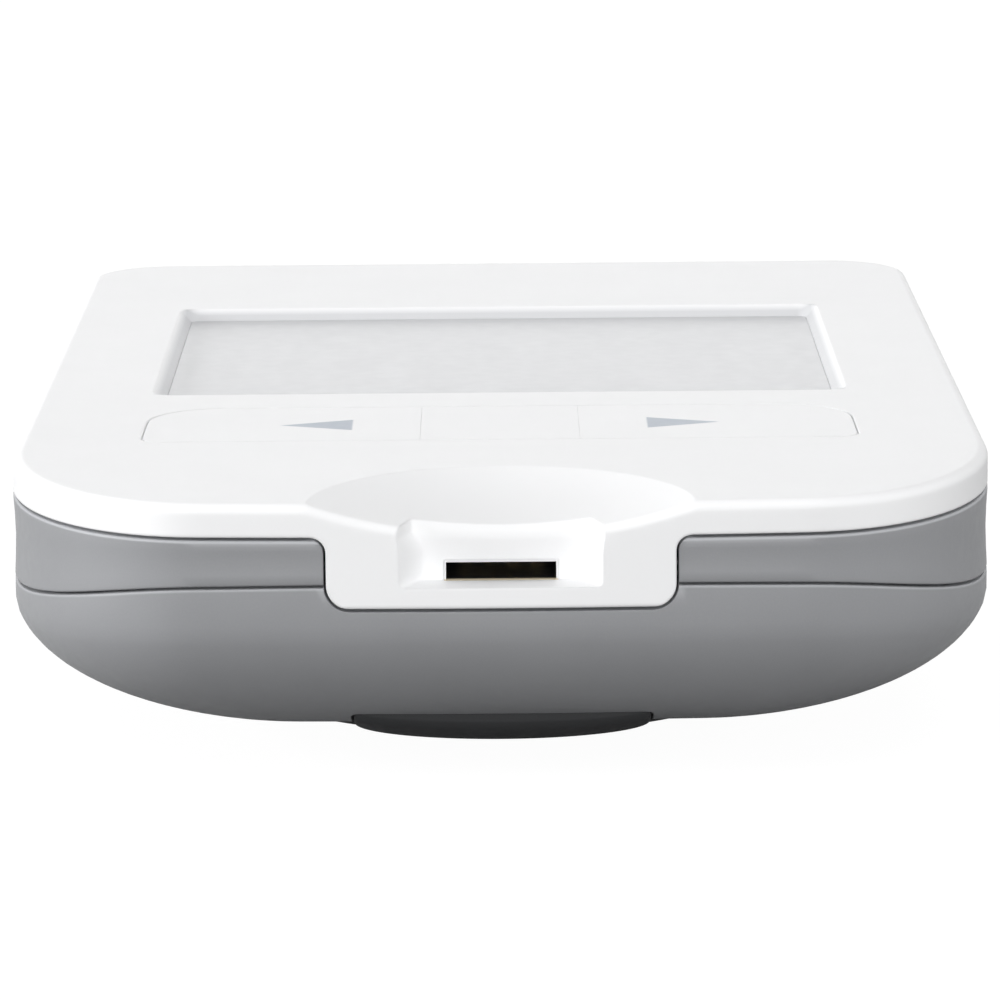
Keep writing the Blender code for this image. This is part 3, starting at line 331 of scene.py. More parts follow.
def slab(name, low, high, corners, levels, steps=10, drawn=(1, 1)):
    """A plan with four corner radii, at levels of inset and depth; drawn tells which ends are inset."""
    rows = []
    for inset, depth in levels:
        x0, x1 = low[0] + inset * drawn[0], high[0] - inset * drawn[1]
        y0, y1 = behind(low[1] + inset), behind(high[1] - inset)
        turn = np.linspace(0.0, math.pi / 2, steps + 1)
        radii = [max(1e-5, corner - inset) for corner in corners]
        centers = [
            (x1 - radii[0], y0 + radii[0]), (x1 - radii[1], y1 - radii[1]),
            (x0 + radii[2], y1 - radii[2]), (x0 + radii[3], y0 + radii[3]),
        ]
        points = [
            np.stack([c[0] + r * np.cos(turn + (i - 1) * math.pi / 2),
                      c[1] + r * np.sin(turn + (i - 1) * math.pi / 2)], axis=1)
            for i, (c, r) in enumerate(zip(centers, radii))
        ]
        points = np.concatenate(points)
        rows.append(np.column_stack([points, np.full(len(points), below(depth))]))
    return skin(name, rows)


def block(name, low, high):
    """A plain block between two corners of X, distance and depth."""
    corners = [(low[0], low[1]), (high[0], low[1]), (high[0], high[1]), (low[0], high[1])]
    rows = [[(x, behind(d), below(depth)) for x, d in corners] for depth in (low[2], high[2])]
    return skin(name, rows)


def combine(piece, others, operation):
    """Cuts, joins or keeps the common part of solids, one after another, and removes the helpers."""
    for other in others:
        step = piece.modifiers.new(other.name, "BOOLEAN")
        step.operation, step.solver, step.object = operation, "EXACT", other
    settle(piece)
    for other in others:
        bpy.data.meshes.remove(other.data)
    return piece


def settle(piece):
    """Turns what the modifiers give into the piece's own mesh."""
    graph = bpy.context.evaluated_depsgraph_get()
    mesh = bpy.data.meshes.new_from_object(piece.evaluated_get(graph))
    old, name = piece.data, piece.data.name
    piece.modifiers.clear()
    piece.data = mesh
    bpy.data.meshes.remove(old)
    mesh.name = name


def finish_shape(piece, angle=28.0):
    """Smooth shading with sharp edges above an angle, and normals that follow the larger faces."""
    if len(piece.data.polygons) == 0:
        raise RuntimeError(f"{piece.name} has no faces")
    piece.data.shade_smooth()
    piece.data.set_sharp_from_angle(angle=math.radians(angle))
    lean = piece.modifiers.new("flat faces lead", "WEIGHTED_NORMAL")
    lean.keep_sharp = True
    lean.weight = 60
    return piece


def hand_over(piece, material, body, slot, *nodes):
    """Gives a piece its material, the body it rides on and the CAD nodes it stands for; its slot is not used."""
    piece.data.materials.clear()
    piece.data.materials.append(material)
    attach(piece, body)
    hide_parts(*nodes)


def noise(nodes, links, place, scale, detail=2.0):
    """A noise texture on a place in object coordinates; the scale is in cells per metre."""
    made = nodes.new("ShaderNodeTexNoise")
    made.inputs["Scale"].default_value = scale
    made.inputs["Detail"].default_value = detail
    links.new(place, made.inputs["Vector"])
    return made.outputs["Fac"]


def spread(nodes, links, value, low, high, old=(0.3, 0.7)):
    """Maps a noise value onto a range."""
    made = nodes.new("ShaderNodeMapRange")
    for socket, number in zip(("From Min", "From Max", "To Min", "To Max"), (*old, low, high)):
        made.inputs[socket].default_value = number
    links.new(value, made.inputs["Value"])
    return made.outputs["Result"]


def blend(nodes, links, share, first, second):
    """Mixes two colours, or a colour and a socket, by a share."""
    made = nodes.new("ShaderNodeMix")
    made.data_type = "RGBA"
    links.new(share, made.inputs["Factor"])
    for socket, colour in ((made.inputs[6], first), (made.inputs[7], second)):
        if isinstance(colour, bpy.types.NodeSocket):
            links.new(colour, socket)
        else:
            socket.default_value = colour
    return made.outputs[2]


def component(nodes, links, place, name):
    """X, Y or Z of a place or a normal."""
    split = nodes.new("ShaderNodeSeparateXYZ")
    links.new(place, split.inputs["Vector"])
    return split.outputs[name]


def reckon(nodes, links, operation, *values, clamp=False):
    """One step of arithmetic on sockets and plain numbers."""
    made = nodes.new("ShaderNodeMath")
    made.operation, made.use_clamp = operation, clamp
    for value, socket in zip(values, made.inputs):
        if isinstance(value, bpy.types.NodeSocket):
            links.new(value, socket)
        else:
            socket.default_value = value
    return made.outputs[0]


def shade_of(colour, factor):
    """A colour made darker or lighter by a factor."""
    return tuple(min(1.0, c * factor) for c in colour[:3]) + (1.0,)


def moulded(name, colour, roughness, grain=9000.0, height=0.000003, variation=0.02, round_edge=0.00012,
            specular=0.5, coat=0.0, stretch=None, metallic=0.0, mask=None):
    """A moulded or rolled surface: fine grain in the bump, slow shifts of tone and gloss, softened edges."""
    made = bpy.data.materials.new(name)
    made.use_nodes = True
    nodes, links = made.node_tree.nodes, made.node_tree.links
    shader = nodes["Principled BSDF"]
    place = nodes.new("ShaderNodeTexCoord").outputs["Object"]
    grain_place = place
    if stretch:
        mapping = nodes.new("ShaderNodeMapping")
        mapping.inputs["Scale"].default_value = stretch
        links.new(place, mapping.inputs["Vector"])
        grain_place = mapping.outputs["Vector"]
    tone = noise(nodes, links, place, 140.0)
    fine = noise(nodes, links, grain_place, grain, 3.0)
    slow = spread(nodes, links, tone, 0.0, 1.0)
    base = blend(nodes, links, slow, shade_of(colour, 1.0 - variation), shade_of(colour, 1.0 + variation / 2))
    speckle = spread(nodes, links, fine, 0.0, variation * 2)
    base = blend(nodes, links, speckle, base, shade_of(colour, 0.5))
    if mask:
        base = mask(nodes, links, place, base)
    links.new(base, shader.inputs["Base Color"])
    patches = noise(nodes, links, grain_place, grain / 6)
    gloss = spread(nodes, links, patches, roughness - 0.04, roughness + 0.04)
    links.new(gloss, shader.inputs["Roughness"])
    bump = nodes.new("ShaderNodeBump")
    bump.inputs["Strength"].default_value = 0.5
    bump.inputs["Distance"].default_value = height
    links.new(fine, bump.inputs["Height"])
    if round_edge:
        edge = nodes.new("ShaderNodeBevel")
        edge.samples = 6
        edge.inputs["Radius"].default_value = round_edge
        links.new(edge.outputs["Normal"], bump.inputs["Normal"])
    links.new(bump.outputs["Normal"], shader.inputs["Normal"])
    shader.inputs["Metallic"].default_value = metallic
    shader.inputs["Specular IOR Level"].default_value = specular
    shader.inputs["Coat Weight"].default_value = coat
    shader.inputs["Coat Roughness"].default_value = 0.25
    return made


def arrow_marks(nodes, links, place, base):
    """Two triangles that point outwards: |y| is under the half height times the share to the tip."""
    def sums(*steps):
        return reckon(nodes, links, *steps)

    away = sums("ABSOLUTE", component(nodes, links, place, "X"))
    share = sums("DIVIDE", sums("SUBTRACT", ARROW_TIP, away), ARROW_LENGTH)
    beside = sums("ABSOLUTE", sums("SUBTRACT", component(nodes, links, place, "Y"), behind(ARROW_MIDDLE)))
    inside = sums("SUBTRACT", sums("MULTIPLY", share, ARROW_HALF), beside)
    soft = spread(nodes, links, inside, 0.0, 1.0, (-0.04 * MM, 0.06 * MM))
    cut = spread(nodes, links, share, 1.0, 0.0, (0.985, 1.01))
    return blend(nodes, links, sums("MULTIPLY", soft, cut), base, tuple(sizes().arrow_colour))


def painted_slope_shade(nodes, links, place, base):
    """Painted shade: the opening's slopes are painted in the window's grey, darker than the white cover; the
    share falls off over the last 0.4 mm to the rim.
    """
    shares = []
    for name, middle, half in (("X", 0.0, OPENING[0]), ("Y", behind(OPENING_MIDDLE), OPENING[1])):
        away = reckon(nodes, links, "SUBTRACT", component(nodes, links, place, name), middle)
        away = reckon(nodes, links, "ABSOLUTE", away)
        shares.append(spread(nodes, links, away, 1.0, 0.0, (half - 0.35 * MM, half + 0.05 * MM)))
    both = reckon(nodes, links, "MULTIPLY", *shares)
    return blend(nodes, links, both, base, tuple(sizes().window_colour))


def painted_upward_highlight(nodes, links, place, base):
    """Painted highlight: edges that face up are painted a little paler, as if lit from above; the share follows
    the height of the surface's own normal.
    """
    normal = nodes.new("ShaderNodeNewGeometry").outputs["Normal"]
    share = spread(nodes, links, component(nodes, links, normal, "Z"), 0.0, 1.0, (0.08, 0.5))
    return blend(nodes, links, share, base, shade_of(sizes().case_colour, 1.6))


def window_tone(nodes, links, place, base):
    """The window is a touch darker towards its front: its place along Y sets the tone."""
    along = component(nodes, links, place, "Y")
    tone = spread(nodes, links, along, 1.0, 0.0, (behind(36.5 * MM), behind(66.0 * MM)))
    return blend(nodes, links, tone, base, shade_of(sizes().window_colour, 0.965))


def collar_colours_and_painted_shade(nodes, links, place, base):
    """The connector is white round the slot and ivory on its lower lip; deeper than a set distance it is painted
    black, a painted shade for the dark inside of the slot.
    """
    along, height = (component(nodes, links, place, name) for name in ("Y", "Z"))
    share = spread(nodes, links, along, 0.0, 1.0, (behind(PAINTED_SHADE_START), behind(PAINTED_SHADE_START + 0.1 * MM)))
    upper = spread(nodes, links, height, 0.0, 1.0, (below(4.88 * MM), below(4.8 * MM)))
    base = blend(nodes, links, upper, base, tuple(sizes().cover_colour))
    # Painted shade: black past the set distance inside the slot.
    return blend(nodes, links, share, base, (0.012, 0.012, 0.013, 1.0))


def white_plastic(name="satin_white", mask=None, round_edge=0.00012):
    return moulded(name, tuple(sizes().cover_colour), 0.42, variation=0.008, mask=mask, specular=0.1,
                   round_edge=round_edge)


def grey_plastic():
    found = bpy.data.materials.get("satin_grey")
    # The grey is painted paler where its faces point up: a painted highlight.
    return found or moulded("satin_grey", tuple(sizes().case_colour), 0.46, height=0.000006, variation=0.03,
                            specular=0.14, mask=painted_upward_highlight)


def nose_block(name, margin, front, back):
    """The nose as a block seen from the front: round bottom corners and a flare into the skirt."""
    half, deep, top = NOSE_HALF + margin, NOSE_DEPTH + 1.3 * margin, SKIRT - sizes().seam / 2 + margin
    low, flare = NOSE_CORNER + margin, NOSE_FLARE - margin
    turn = np.linspace(0.0, math.pi / 2, 13)
    bottom = np.stack([half - low + low * np.sin(turn), deep - low + low * np.cos(turn)], axis=1)
    upper = np.stack([half + flare - flare * np.cos(turn), top + flare - flare * np.sin(turn)], axis=1)
    right = np.concatenate([bottom, upper, [[half + flare, top - 1.0 * MM]]])
    sides = np.concatenate([right, right[::-1] * (-1, 1)])
    across, height = sides[:, 0], below(sides[:, 1])
    rows = [np.column_stack([across, np.full(len(sides), behind(d)), height]) for d in (front, back)]
    return skin(name, rows)


def scoop_cutter():
    """A round dish: the cap of a sphere whose rim has the scoop's radius, carried up past the flat."""
    ball = (SCOOP_RADIUS**2 + SCOOP_DEPTH**2) / (2 * SCOOP_DEPTH)
    half = math.asin(SCOOP_RADIUS / ball)
    turn = np.linspace(half * 1.08, 0.004, 26)
    dish = np.stack([ball * np.sin(turn), SCOOP_DEPTH - ball + ball * np.cos(turn)], axis=1)
    profile = np.concatenate([[[dish[0, 0], -1.0 * MM]], dish])
    return turned("scoop_cutter", 0.0, SCOOP_CENTER, profile, steps=144)


def lip_cutter():
    """Rounds the scoop's front lip: at each X a quarter circle from the front face to the dish's floor."""
    ball = (SCOOP_RADIUS**2 + SCOOP_DEPTH**2) / (2 * SCOOP_DEPTH)
    x = np.linspace(-11.7 * MM, 11.7 * MM, 160)[:, None]
    face = FRONT_BOW * (x / HALF_WIDTH) ** 2 - 0.008 * MM
    turn = np.linspace(0.0, math.pi / 2, 14)[None, :]
    away = face + LIP_RADIUS * (1.0 - np.cos(turn))
    dish = SCOOP_DEPTH - ball + np.sqrt(ball**2 - x**2 - (away - SCOOP_CENTER) ** 2)
    depth = np.maximum(0.0, dish) + LIP_RADIUS * (1.0 - np.sin(turn)) - 0.004 * MM
    outer = face - 0.6 * MM
    away = np.concatenate([outer, away, away[:, -1:], outer], axis=1)
    high = np.full_like(x, -1.0 * MM)
    depth = np.concatenate([depth[:, :1], depth, high, high], axis=1)
    rows = np.stack([np.broadcast_to(x, away.shape), behind(away), below(depth)], axis=-1)
    return skin("lip_cutter", rows)


def recess_cutter():
    """The recess round the slot: its back falls off to the sides in an S, wider and leaning near its top."""
    x = np.linspace(-1.0, 1.0, 97)
    depths = [np.linspace(-0.5, 2.0, 11), np.linspace(2.1, 3.8, 12), np.linspace(3.9, 4.9, 13)]
    rows = []
    for depth in np.concatenate(depths) * MM:
        past = max(0.0, depth - (RECESS_FLOOR - RECESS_CORNER)) / RECESS_CORNER
        high = min(1.0, max(0.0, (3.2 * MM - depth) / (1.2 * MM)))
        shrink = 0.75 * RECESS_CORNER * (1.0 - math.sqrt(max(0.0, 1.0 - past**2)))
        mouth = RECESS_MOUTH - shrink
        across = x * mouth
        inner = RECESS_BACK - shrink + RECESS_WIDER * high**2
        share = np.clip((mouth - np.abs(across)) / (mouth - inner), 0.0, 1.0)
        wall = share**2 * (3.0 - 2.0 * share)
        lean = RECESS_LEAN * min(2.2, max(0.0, (2.5 * MM - depth) / (0.8 * MM))) ** 2
        lean = lean * (1.0 - 0.6 * (across / inner) ** 2).clip(0.0, 1.0)
        back = -RECESS_LIP + (RECESS_LENGTH + RECESS_LIP + lean) * wall
        line = np.column_stack([across, behind(back)])
        ends = np.array([[mouth, behind(-2.0 * MM)], [-mouth, behind(-2.0 * MM)]])
        rows.append(np.column_stack([np.concatenate([line, ends]), np.full(len(x) + 2, below(depth))]))
    return skin("recess_cutter", rows)


def opening_cutter():
    """The display opening: a rounded rim, a slope down to the window and straight sides below it."""
    levels = [(-0.14, -1.0), (-0.14, -0.01), (-0.05, 0.02), (0.03, 0.08),
              (0.58, 0.66), (0.68, 0.74), (0.7, 0.82), (0.7, 2.6)]
    low = (-OPENING[0], OPENING_MIDDLE - OPENING[1])
    high = (OPENING[0], OPENING_MIDDLE + OPENING[1])
    return slab("opening_cutter", low, high, (1.3 * MM,) * 4, [(i * MM, d * MM) for i, d in levels])


def bar_slab(name, low_x, high_x, inset, levels):
    """The key bar between two X places, with its own round outer corners and sharp cuts between keys."""
    left, right = low_x <= -BAR_HALF, high_x >= BAR_HALF
    corners = (BAR_FRONT_CORNER if right else 0.0, BAR_BACK_CORNER if right else 0.0,
               BAR_BACK_CORNER if left else 0.0, BAR_FRONT_CORNER if left else 0.0)
    low = (low_x + (inset if left else 0.0), BAR_FRONT + inset)
    high = (high_x - (inset if right else 0.0), BAR_BACK - inset)
    return slab(name, low, high, [max(0.0, c - inset) for c in corners], levels, drawn=(left, right))


class MeterCover(bpy.types.Operator):
    """White cover: rolled edge, skirt, nose with recess and slot, finger scoop, display and key openings."""

    bl_idname = "meter.cover"
    bl_label = "Cover"

    def execute(self, context):
        wide, deep, seam = sizes().roll_width, sizes().roll_depth, sizes().seam
        start = math.radians(14)
        rows = []
        for turn in np.linspace(start, math.pi / 2, 13):
            down = deep * (math.cos(start) - math.cos(turn)) / math.cos(start)
            rows.append(ring(wide * (1 - math.sin(turn)), down))
        rows += [ring(0.0, depth * MM) for depth in (0.9, 1.3, 1.75)]
        rows += [ring(0.0, 3.4 * MM), ring(0.0, 4.6 * MM)]
        for turn in np.linspace(0.0, math.pi / 2, 9):
            rows.append(ring(NOSE_EDGE * (1 - math.cos(turn)), NOSE_DEPTH - NOSE_EDGE * (1 - math.sin(turn))))
        cover = skin("cover_shell", rows)
        edge = SKIRT - seam / 2
        under = skin("cover_under_cutter", [
            ring(-1.0 * MM, NOSE_DEPTH + 1.0 * MM), seam_ring(-1.0 * MM, edge - 0.06 * MM),
            seam_ring(0.0, edge - 0.06 * MM), seam_ring(0.06 * MM, edge), seam_ring(COVER_WALL, edge),
            ring(COVER_WALL, COVER_PLATE),
        ])
        pad = block("pad", (-11.7 * MM, 2.6 * MM, COVER_PLATE - 1.0 * MM), (11.7 * MM, 11.9 * MM, 2.8 * MM))
        keep = [nose_block("nose", 0.0, -1.0 * MM, NOSE_LENGTH), pad]
        keep += [turned(f"post_{i}", x, d, [(POST_RADIUS, COVER_PLATE - 1.0 * MM), (POST_RADIUS, 7.3 * MM)], 32)
                 for i, (x, d) in enumerate(SCREWS)]
        combine(under, keep, "DIFFERENCE")
        half, wall = SLOT_HALF + COLLAR_WALL, COLLAR_WALL
        slot = block("slot", (-half, 2.1 * MM, SLOT_TOP - wall),
                     (half, NOSE_LENGTH + 1.0 * MM, RECESS_FLOOR + wall))
        bar = bar_slab("bar", -BAR_HALF, BAR_HALF, 0.0, [(-0.05 * MM, -1.0 * MM), (-0.05 * MM, -0.01 * MM),
                                                          (0.0, 0.05 * MM), (0.0, 3.0 * MM)])
        cutters = [under, scoop_cutter(), lip_cutter(), recess_cutter(), opening_cutter(), slot, bar]
        combine(cover, cutters, "DIFFERENCE")
        pilots = [turned(f"pilot_{i}", x, d, [(PILOT_RADIUS, 3.2 * MM), (PILOT_RADIUS, 8.0 * MM)], 24)
                  for i, (x, d) in enumerate(SCREWS)]
        combine(cover, pilots, "DIFFERENCE")
        finish_shape(cover)
        # The cover's slopes into the display opening carry painted shade in the window's grey.
        material = white_plastic("satin_white_cover", painted_slope_shade, 0.00022)
        hand_over(cover, material, "housing", "white_plastic", "top_cover")
        return {"FINISHED"}


class MeterBand(bpy.types.Operator):
    """Grey frame under the cover: bevelled rims, a faint waist and a notch for the nose."""

    bl_idname = "meter.band"
    bl_label = "Frame band"

    def execute(self, context):
        seam = sizes().seam
        top, bottom = SKIRT + 0.8 * seam, PARTING - seam / 2
        middle = (top + bottom) / 2
        rows = [
            seam_ring(FRAME_WALL, top), seam_ring(EDGE, top), seam_ring(0.4 * EDGE, top + 0.25 * EDGE),
            seam_ring(0.0, top + EDGE),
            ring(0.6 * FRAME_WAIST, (top + middle) / 2, PARTING_RISE / 4),
            ring(FRAME_WAIST, middle, PARTING_RISE / 2),
            ring(0.6 * FRAME_WAIST, (bottom + middle) / 2, 0.75 * PARTING_RISE),
            ring(0.0, bottom - 0.7 * EDGE, PARTING_RISE), ring(0.3 * EDGE, bottom - 0.2 * EDGE, PARTING_RISE),
            ring(0.8 * EDGE, bottom, PARTING_RISE), ring(FRAME_WALL, bottom, PARTING_RISE),
        ]
        band = skin("frame_band", rows, around=True)
        combine(band, [nose_block("band_notch", seam, -1.0 * MM, NOSE_LENGTH + 0.3 * MM)], "DIFFERENCE")
        finish_shape(band, 40.0)
        hand_over(band, grey_plastic(), "housing", "grey_plastic", "middle_frame")
        return {"FINISHED"}


class MeterCase(bpy.types.Operator):
    """Grey lower case: rim, crease and belly, with the battery compartment, screw wells and foot wells."""

    bl_idname = "meter.case"
    bl_label = "Lower case"

    def execute(self, context):
        seam = sizes().seam
        rim = PARTING + seam / 2
        crease = PARTING_RISE - (PARTING_RISE - CREASE_RISE) * 0.5
        rows = [ring(CASE_WALL, rim, PARTING_RISE), ring(0.9 * EDGE, rim, PARTING_RISE),
                ring(0.3 * EDGE, rim + 0.25 * EDGE, PARTING_RISE), ring(0.0, rim + 0.9 * EDGE, PARTING_RISE),
                ring(0.0, (rim + CREASE) / 2, crease), ring(0.0, CREASE - 0.25 * MM, CREASE_RISE)]
        rows += belly(0.0, BELLY_ROWS)[1:]
        case = self.shell(np.asarray(rows + list(reversed(belly(CASE_WALL, 14)))))
        half = CASE_WALL / 2
        bounds = skin("case_bounds", [ring(half, 0.0)] + belly(half, 10))
        walls = block("compartment",
                      (-HOLLOW_HALF - HOLLOW_WALL, HOLLOW_FRONT - HOLLOW_WALL, HOLLOW_TOP - 1.0 * MM),
                      (HOLLOW_HALF + HOLLOW_WALL, HOLLOW_BACK + HOLLOW_WALL, FLAT_BOTTOM))
        bosses = [turned(f"boss_{i}", x, d, [(BOSS_RADIUS, 7.6 * MM), (BOSS_RADIUS, FLAT_BOTTOM)], 40)
                  for i, (x, d) in enumerate(SCREWS)]
        for solid in (walls, *bosses):
            step = solid.modifiers.new("inside", "BOOLEAN")
            step.operation, step.solver, step.object = "INTERSECT", "EXACT", bounds
            settle(solid)
        bpy.data.meshes.remove(bounds.data)
        combine(case, [walls, *bosses], "UNION")
        wells = [turned(f"well_{i}", x, d, [
            (PILOT_RADIUS, 6.5 * MM), (PILOT_RADIUS, WELL_TOP), (WELL_RADIUS, WELL_TOP), (WELL_RADIUS, PAST_BOTTOM)], 48)
            for i, (x, d) in enumerate(SCREWS)]
        wells += [turned(f"foot_well_{i}", x, d, [(FOOT_WELL, 14.9 * MM), (FOOT_WELL, PAST_BOTTOM)], 48)
                  for i, (x, d) in enumerate(FEET)]
        hollow = slab("hollow", (-HOLLOW_HALF, HOLLOW_FRONT), (HOLLOW_HALF, HOLLOW_BACK), (2.0 * MM,) * 4,
                      [(0.0, HOLLOW_TOP), (0.0, 17.5 * MM)])
        pocket = door_solid("pocket", sizes().door_gap + 0.1 * MM, 1.0 * MM)
        notch = nose_block("case_notch", seam, -1.0 * MM, NOSE_LENGTH + 0.3 * MM)
        combine(case, [*wells, pocket, hollow, notch], "DIFFERENCE")
        finish_shape(case, 40.0)
        hand_over(case, grey_plastic(), "housing", "grey_plastic", "lower_case")
        return {"FINISHED"}

    def shell(self, rows):
        """The outer rings run down to the flat bottom, the inner rings back up, and the rim closes them."""
        count, columns = rows.shape[:2]
        index = np.arange(count * columns).reshape(count, columns)
        flat = BELLY_ROWS + 4
        pairs = [(i, i + 1) for i in range(count - 1) if i != flat] + [(count - 1, 0)]
        first = index[[a for a, b in pairs]]
        second = index[[b for a, b in pairs]]
        quads = np.stack([first, np.roll(first, -1, axis=1), np.roll(second, -1, axis=1), second], axis=-1)
        faces = quads.reshape(-1, 4).tolist() + [index[flat].tolist(), index[flat + 1].tolist()]
        return closed("case_shell", rows.reshape(-1, 3), faces)


def door_half_width(distance):
    """Half width of the door: narrow tongue, cosine shoulder, wide door, round back corners."""
    share = np.clip((distance - SHOULDER) / SHOULDER_LENGTH, 0.0, 1.0)
    half = TONGUE_HALF + (DOOR_HALF - TONGUE_HALF) * (1.0 - np.cos(math.pi * share)) / 2
    past = np.maximum(0.0, distance - (DOOR_END - DOOR_CORNER))
    half -= DOOR_CORNER - np.sqrt(np.maximum(0.0, DOOR_CORNER**2 - past**2))
    front = np.clip((distance - TONGUE_FRONT) / (0.8 * MM), 0.0, 1.0)
    return half - 0.5 * MM * (1.0 - np.sqrt(1.0 - (1.0 - front) ** 2))


def door_solid(name, margin, extra):
    """Sections behind one another: crowned below, rolled at the edges, grooved for the thumb at the back."""
    corner = DOOR_END - DOOR_CORNER
    stations = np.concatenate([
        TONGUE_FRONT + np.array([0.0, 0.06, 0.15, 0.3, 0.5, 0.8]) * MM,
        np.linspace(TONGUE_FRONT + 1.2 * MM, SHOULDER, 22)[:-1],
        np.linspace(SHOULDER, SHOULDER + SHOULDER_LENGTH, 14)[:-1],
        np.linspace(SHOULDER + SHOULDER_LENGTH, corner, 150)[:-1],
        corner + DOOR_CORNER * np.sin(np.linspace(0.0, math.pi / 2, 14)),
    ])
    shares = np.sin(np.linspace(-math.pi / 2, math.pi / 2, 61))
    grown = stations + margin * (2 * (stations - TONGUE_FRONT) / (DOOR_END - TONGUE_FRONT) - 1)
    half = (door_half_width(stations) + margin)[:, None]
    across = half * shares
    place = stations[:, None] + 0.0 * across
    lower = belly_depth(across, place) + DOOR_PROUD + (DOOR_CROWN - DOOR_PROUD) * (1.0 - shares**2) ** 0.5
    if extra:
        lower = lower + extra
    else:
        ends = np.minimum(place - TONGUE_FRONT, DOOR_END - place)
        tip = np.clip(1.0 - ends / (0.5 * MM), 0.0, 1.0)
        lower = lower - 0.3 * MM * tip**2
        nearer = np.clip(1.0 - (place - TONGUE_FRONT) / (2.8 * MM), 0.0, 1.0)
        lower = lower - 0.42 * MM * nearer**2 * np.sqrt(1.0 - shares**2)
        along = np.clip((place - 50.5 * MM) / (8.0 * MM), 0.0, 1.0)
        wave = np.sin(along * 5 * math.pi) ** 2
        grooved = np.abs(across) < 6.0 * MM * np.sqrt(1.0 - (2 * along - 1) ** 2 * 0.4)
        lower = lower - 0.28 * MM * wave * grooved
    top = belly_depth(np.zeros(len(stations)), stations) - DOOR_EMBED - (0.3 * MM if extra else 0.0)
    rows = np.empty((len(stations), 2 * len(shares), 3))
    rows[:, :, 0] = np.concatenate([across, across[:, ::-1]], axis=1)
    rows[:, :, 1] = behind(grown)[:, None]
    rows[:, : len(shares), 2] = below(np.maximum(lower, top[:, None] + 0.05 * MM))
    rows[:, len(shares):, 2] = below(top)[:, None]
    return skin(name, rows)


class MeterDoor(bpy.types.Operator):
    """Dark battery door, its grey darkened further as painted shade, whose crowned tongue shows under the belly
    in front.
    """

    bl_idname = "meter.door"
    bl_label = "Battery door"

    def execute(self, context):
        door = door_solid("door_shell", 0.1 * MM, 0.0)
        finish_shape(door, 40.0)
        # Partly painted shade: the door's grey is darker than its own for the shadow under the belly.
        colour = tuple(sizes().door_grey_and_shade)
        material = moulded("satin_door_grey_and_shade", colour, 0.5, grain=7000.0, height=0.000006, variation=0.05,
                            specular=0.05)
        hand_over(door, material, "door", "dark_grey_plastic", "battery_door")
        return {"FINISHED"}


class MeterWindow(bpy.types.Operator):
    """Pale display window, on its flange under the cover."""

    bl_idname = "meter.window"
    bl_label = "Display window"

    def execute(self, context):
        low = (-OPENING[0], OPENING_MIDDLE - OPENING[1])
        high = (OPENING[0], OPENING_MIDDLE + OPENING[1])
        levels = [(0.69, 0.75), (0.69, 1.8), (-0.5, 1.8), (-0.5, 2.4)]
        window = slab("display_pane", low, high, (1.3 * MM,) * 4, [(i * MM, d * MM) for i, d in levels])
        finish_shape(window)
        material = moulded("pale_window", tuple(sizes().window_colour), 0.34, grain=6000.0, height=0.0000004,
                           variation=0.003, mask=window_tone, specular=0.15)
        hand_over(window, material, "housing", "clear_window", "display_window")
        return {"FINISHED"}


class MeterKeys(bpy.types.Operator):
    """Three keys in one bar, two of them with an arrow mark, each with its flange and stem."""

    bl_idname = "meter.keys"
    bl_label = "Keys"

    def execute(self, context):
        gap = sizes().key_gap
        material = white_plastic("satin_white_keys", arrow_marks, 0.00003)
        spans = {
            "left_key": (-KEY_SPACING, -BAR_HALF, -CENTER_KEY_HALF - 0.008 * MM),
            "center_key": (0.0, -CENTER_KEY_HALF, CENTER_KEY_HALF),
            "right_key": (KEY_SPACING, CENTER_KEY_HALF + 0.008 * MM, BAR_HALF),
        }
        for name, (x, low_x, high_x) in spans.items():
            levels = [(gap, 0.0), (gap - 0.02 * MM, 0.02 * MM), (gap - 0.02 * MM, GROOVE), (0.0, GROOVE),
                      (0.0, 2.0 * MM)]
            key = bar_slab(name + "_cap", low_x, high_x, 0.012 * MM, levels)
            low_lip = 0.8 * MM if low_x <= -BAR_HALF else -0.12 * MM
            high_lip = 0.8 * MM if high_x >= BAR_HALF else -0.12 * MM
            flange = block("flange", (low_x - low_lip, BAR_FRONT - 0.8 * MM, 1.8 * MM),
                           (high_x + high_lip, BAR_BACK + 0.8 * MM, 2.6 * MM))
            profile = [(STEM_RADIUS, 2.4 * MM), (STEM_RADIUS, 3.3 * MM)]
            stem = turned("stem", x, (BAR_FRONT + BAR_BACK) / 2, profile, 32)
            combine(key, [flange, stem], "UNION")
            finish_shape(key)
            hand_over(key, material, name, "white_plastic", name)
        return {"FINISHED"}


def cross_recess(x, y, depth):
    """Height added to a screw head's face so that a cross of two tapered grooves sinks into it."""
    def groove(across, along):
        inside = np.clip((0.3 * MM - np.abs(across)) / (0.08 * MM), 0.0, 1.0)
        return inside * np.clip((1.15 * MM - np.abs(along)) / (0.15 * MM), 0.0, 1.0)

    face = np.clip((depth - 13.5 * MM) / (0.3 * MM), 0.0, 1.0)
    return 0.8 * MM * face * np.maximum(groove(x, y), groove(y, x))


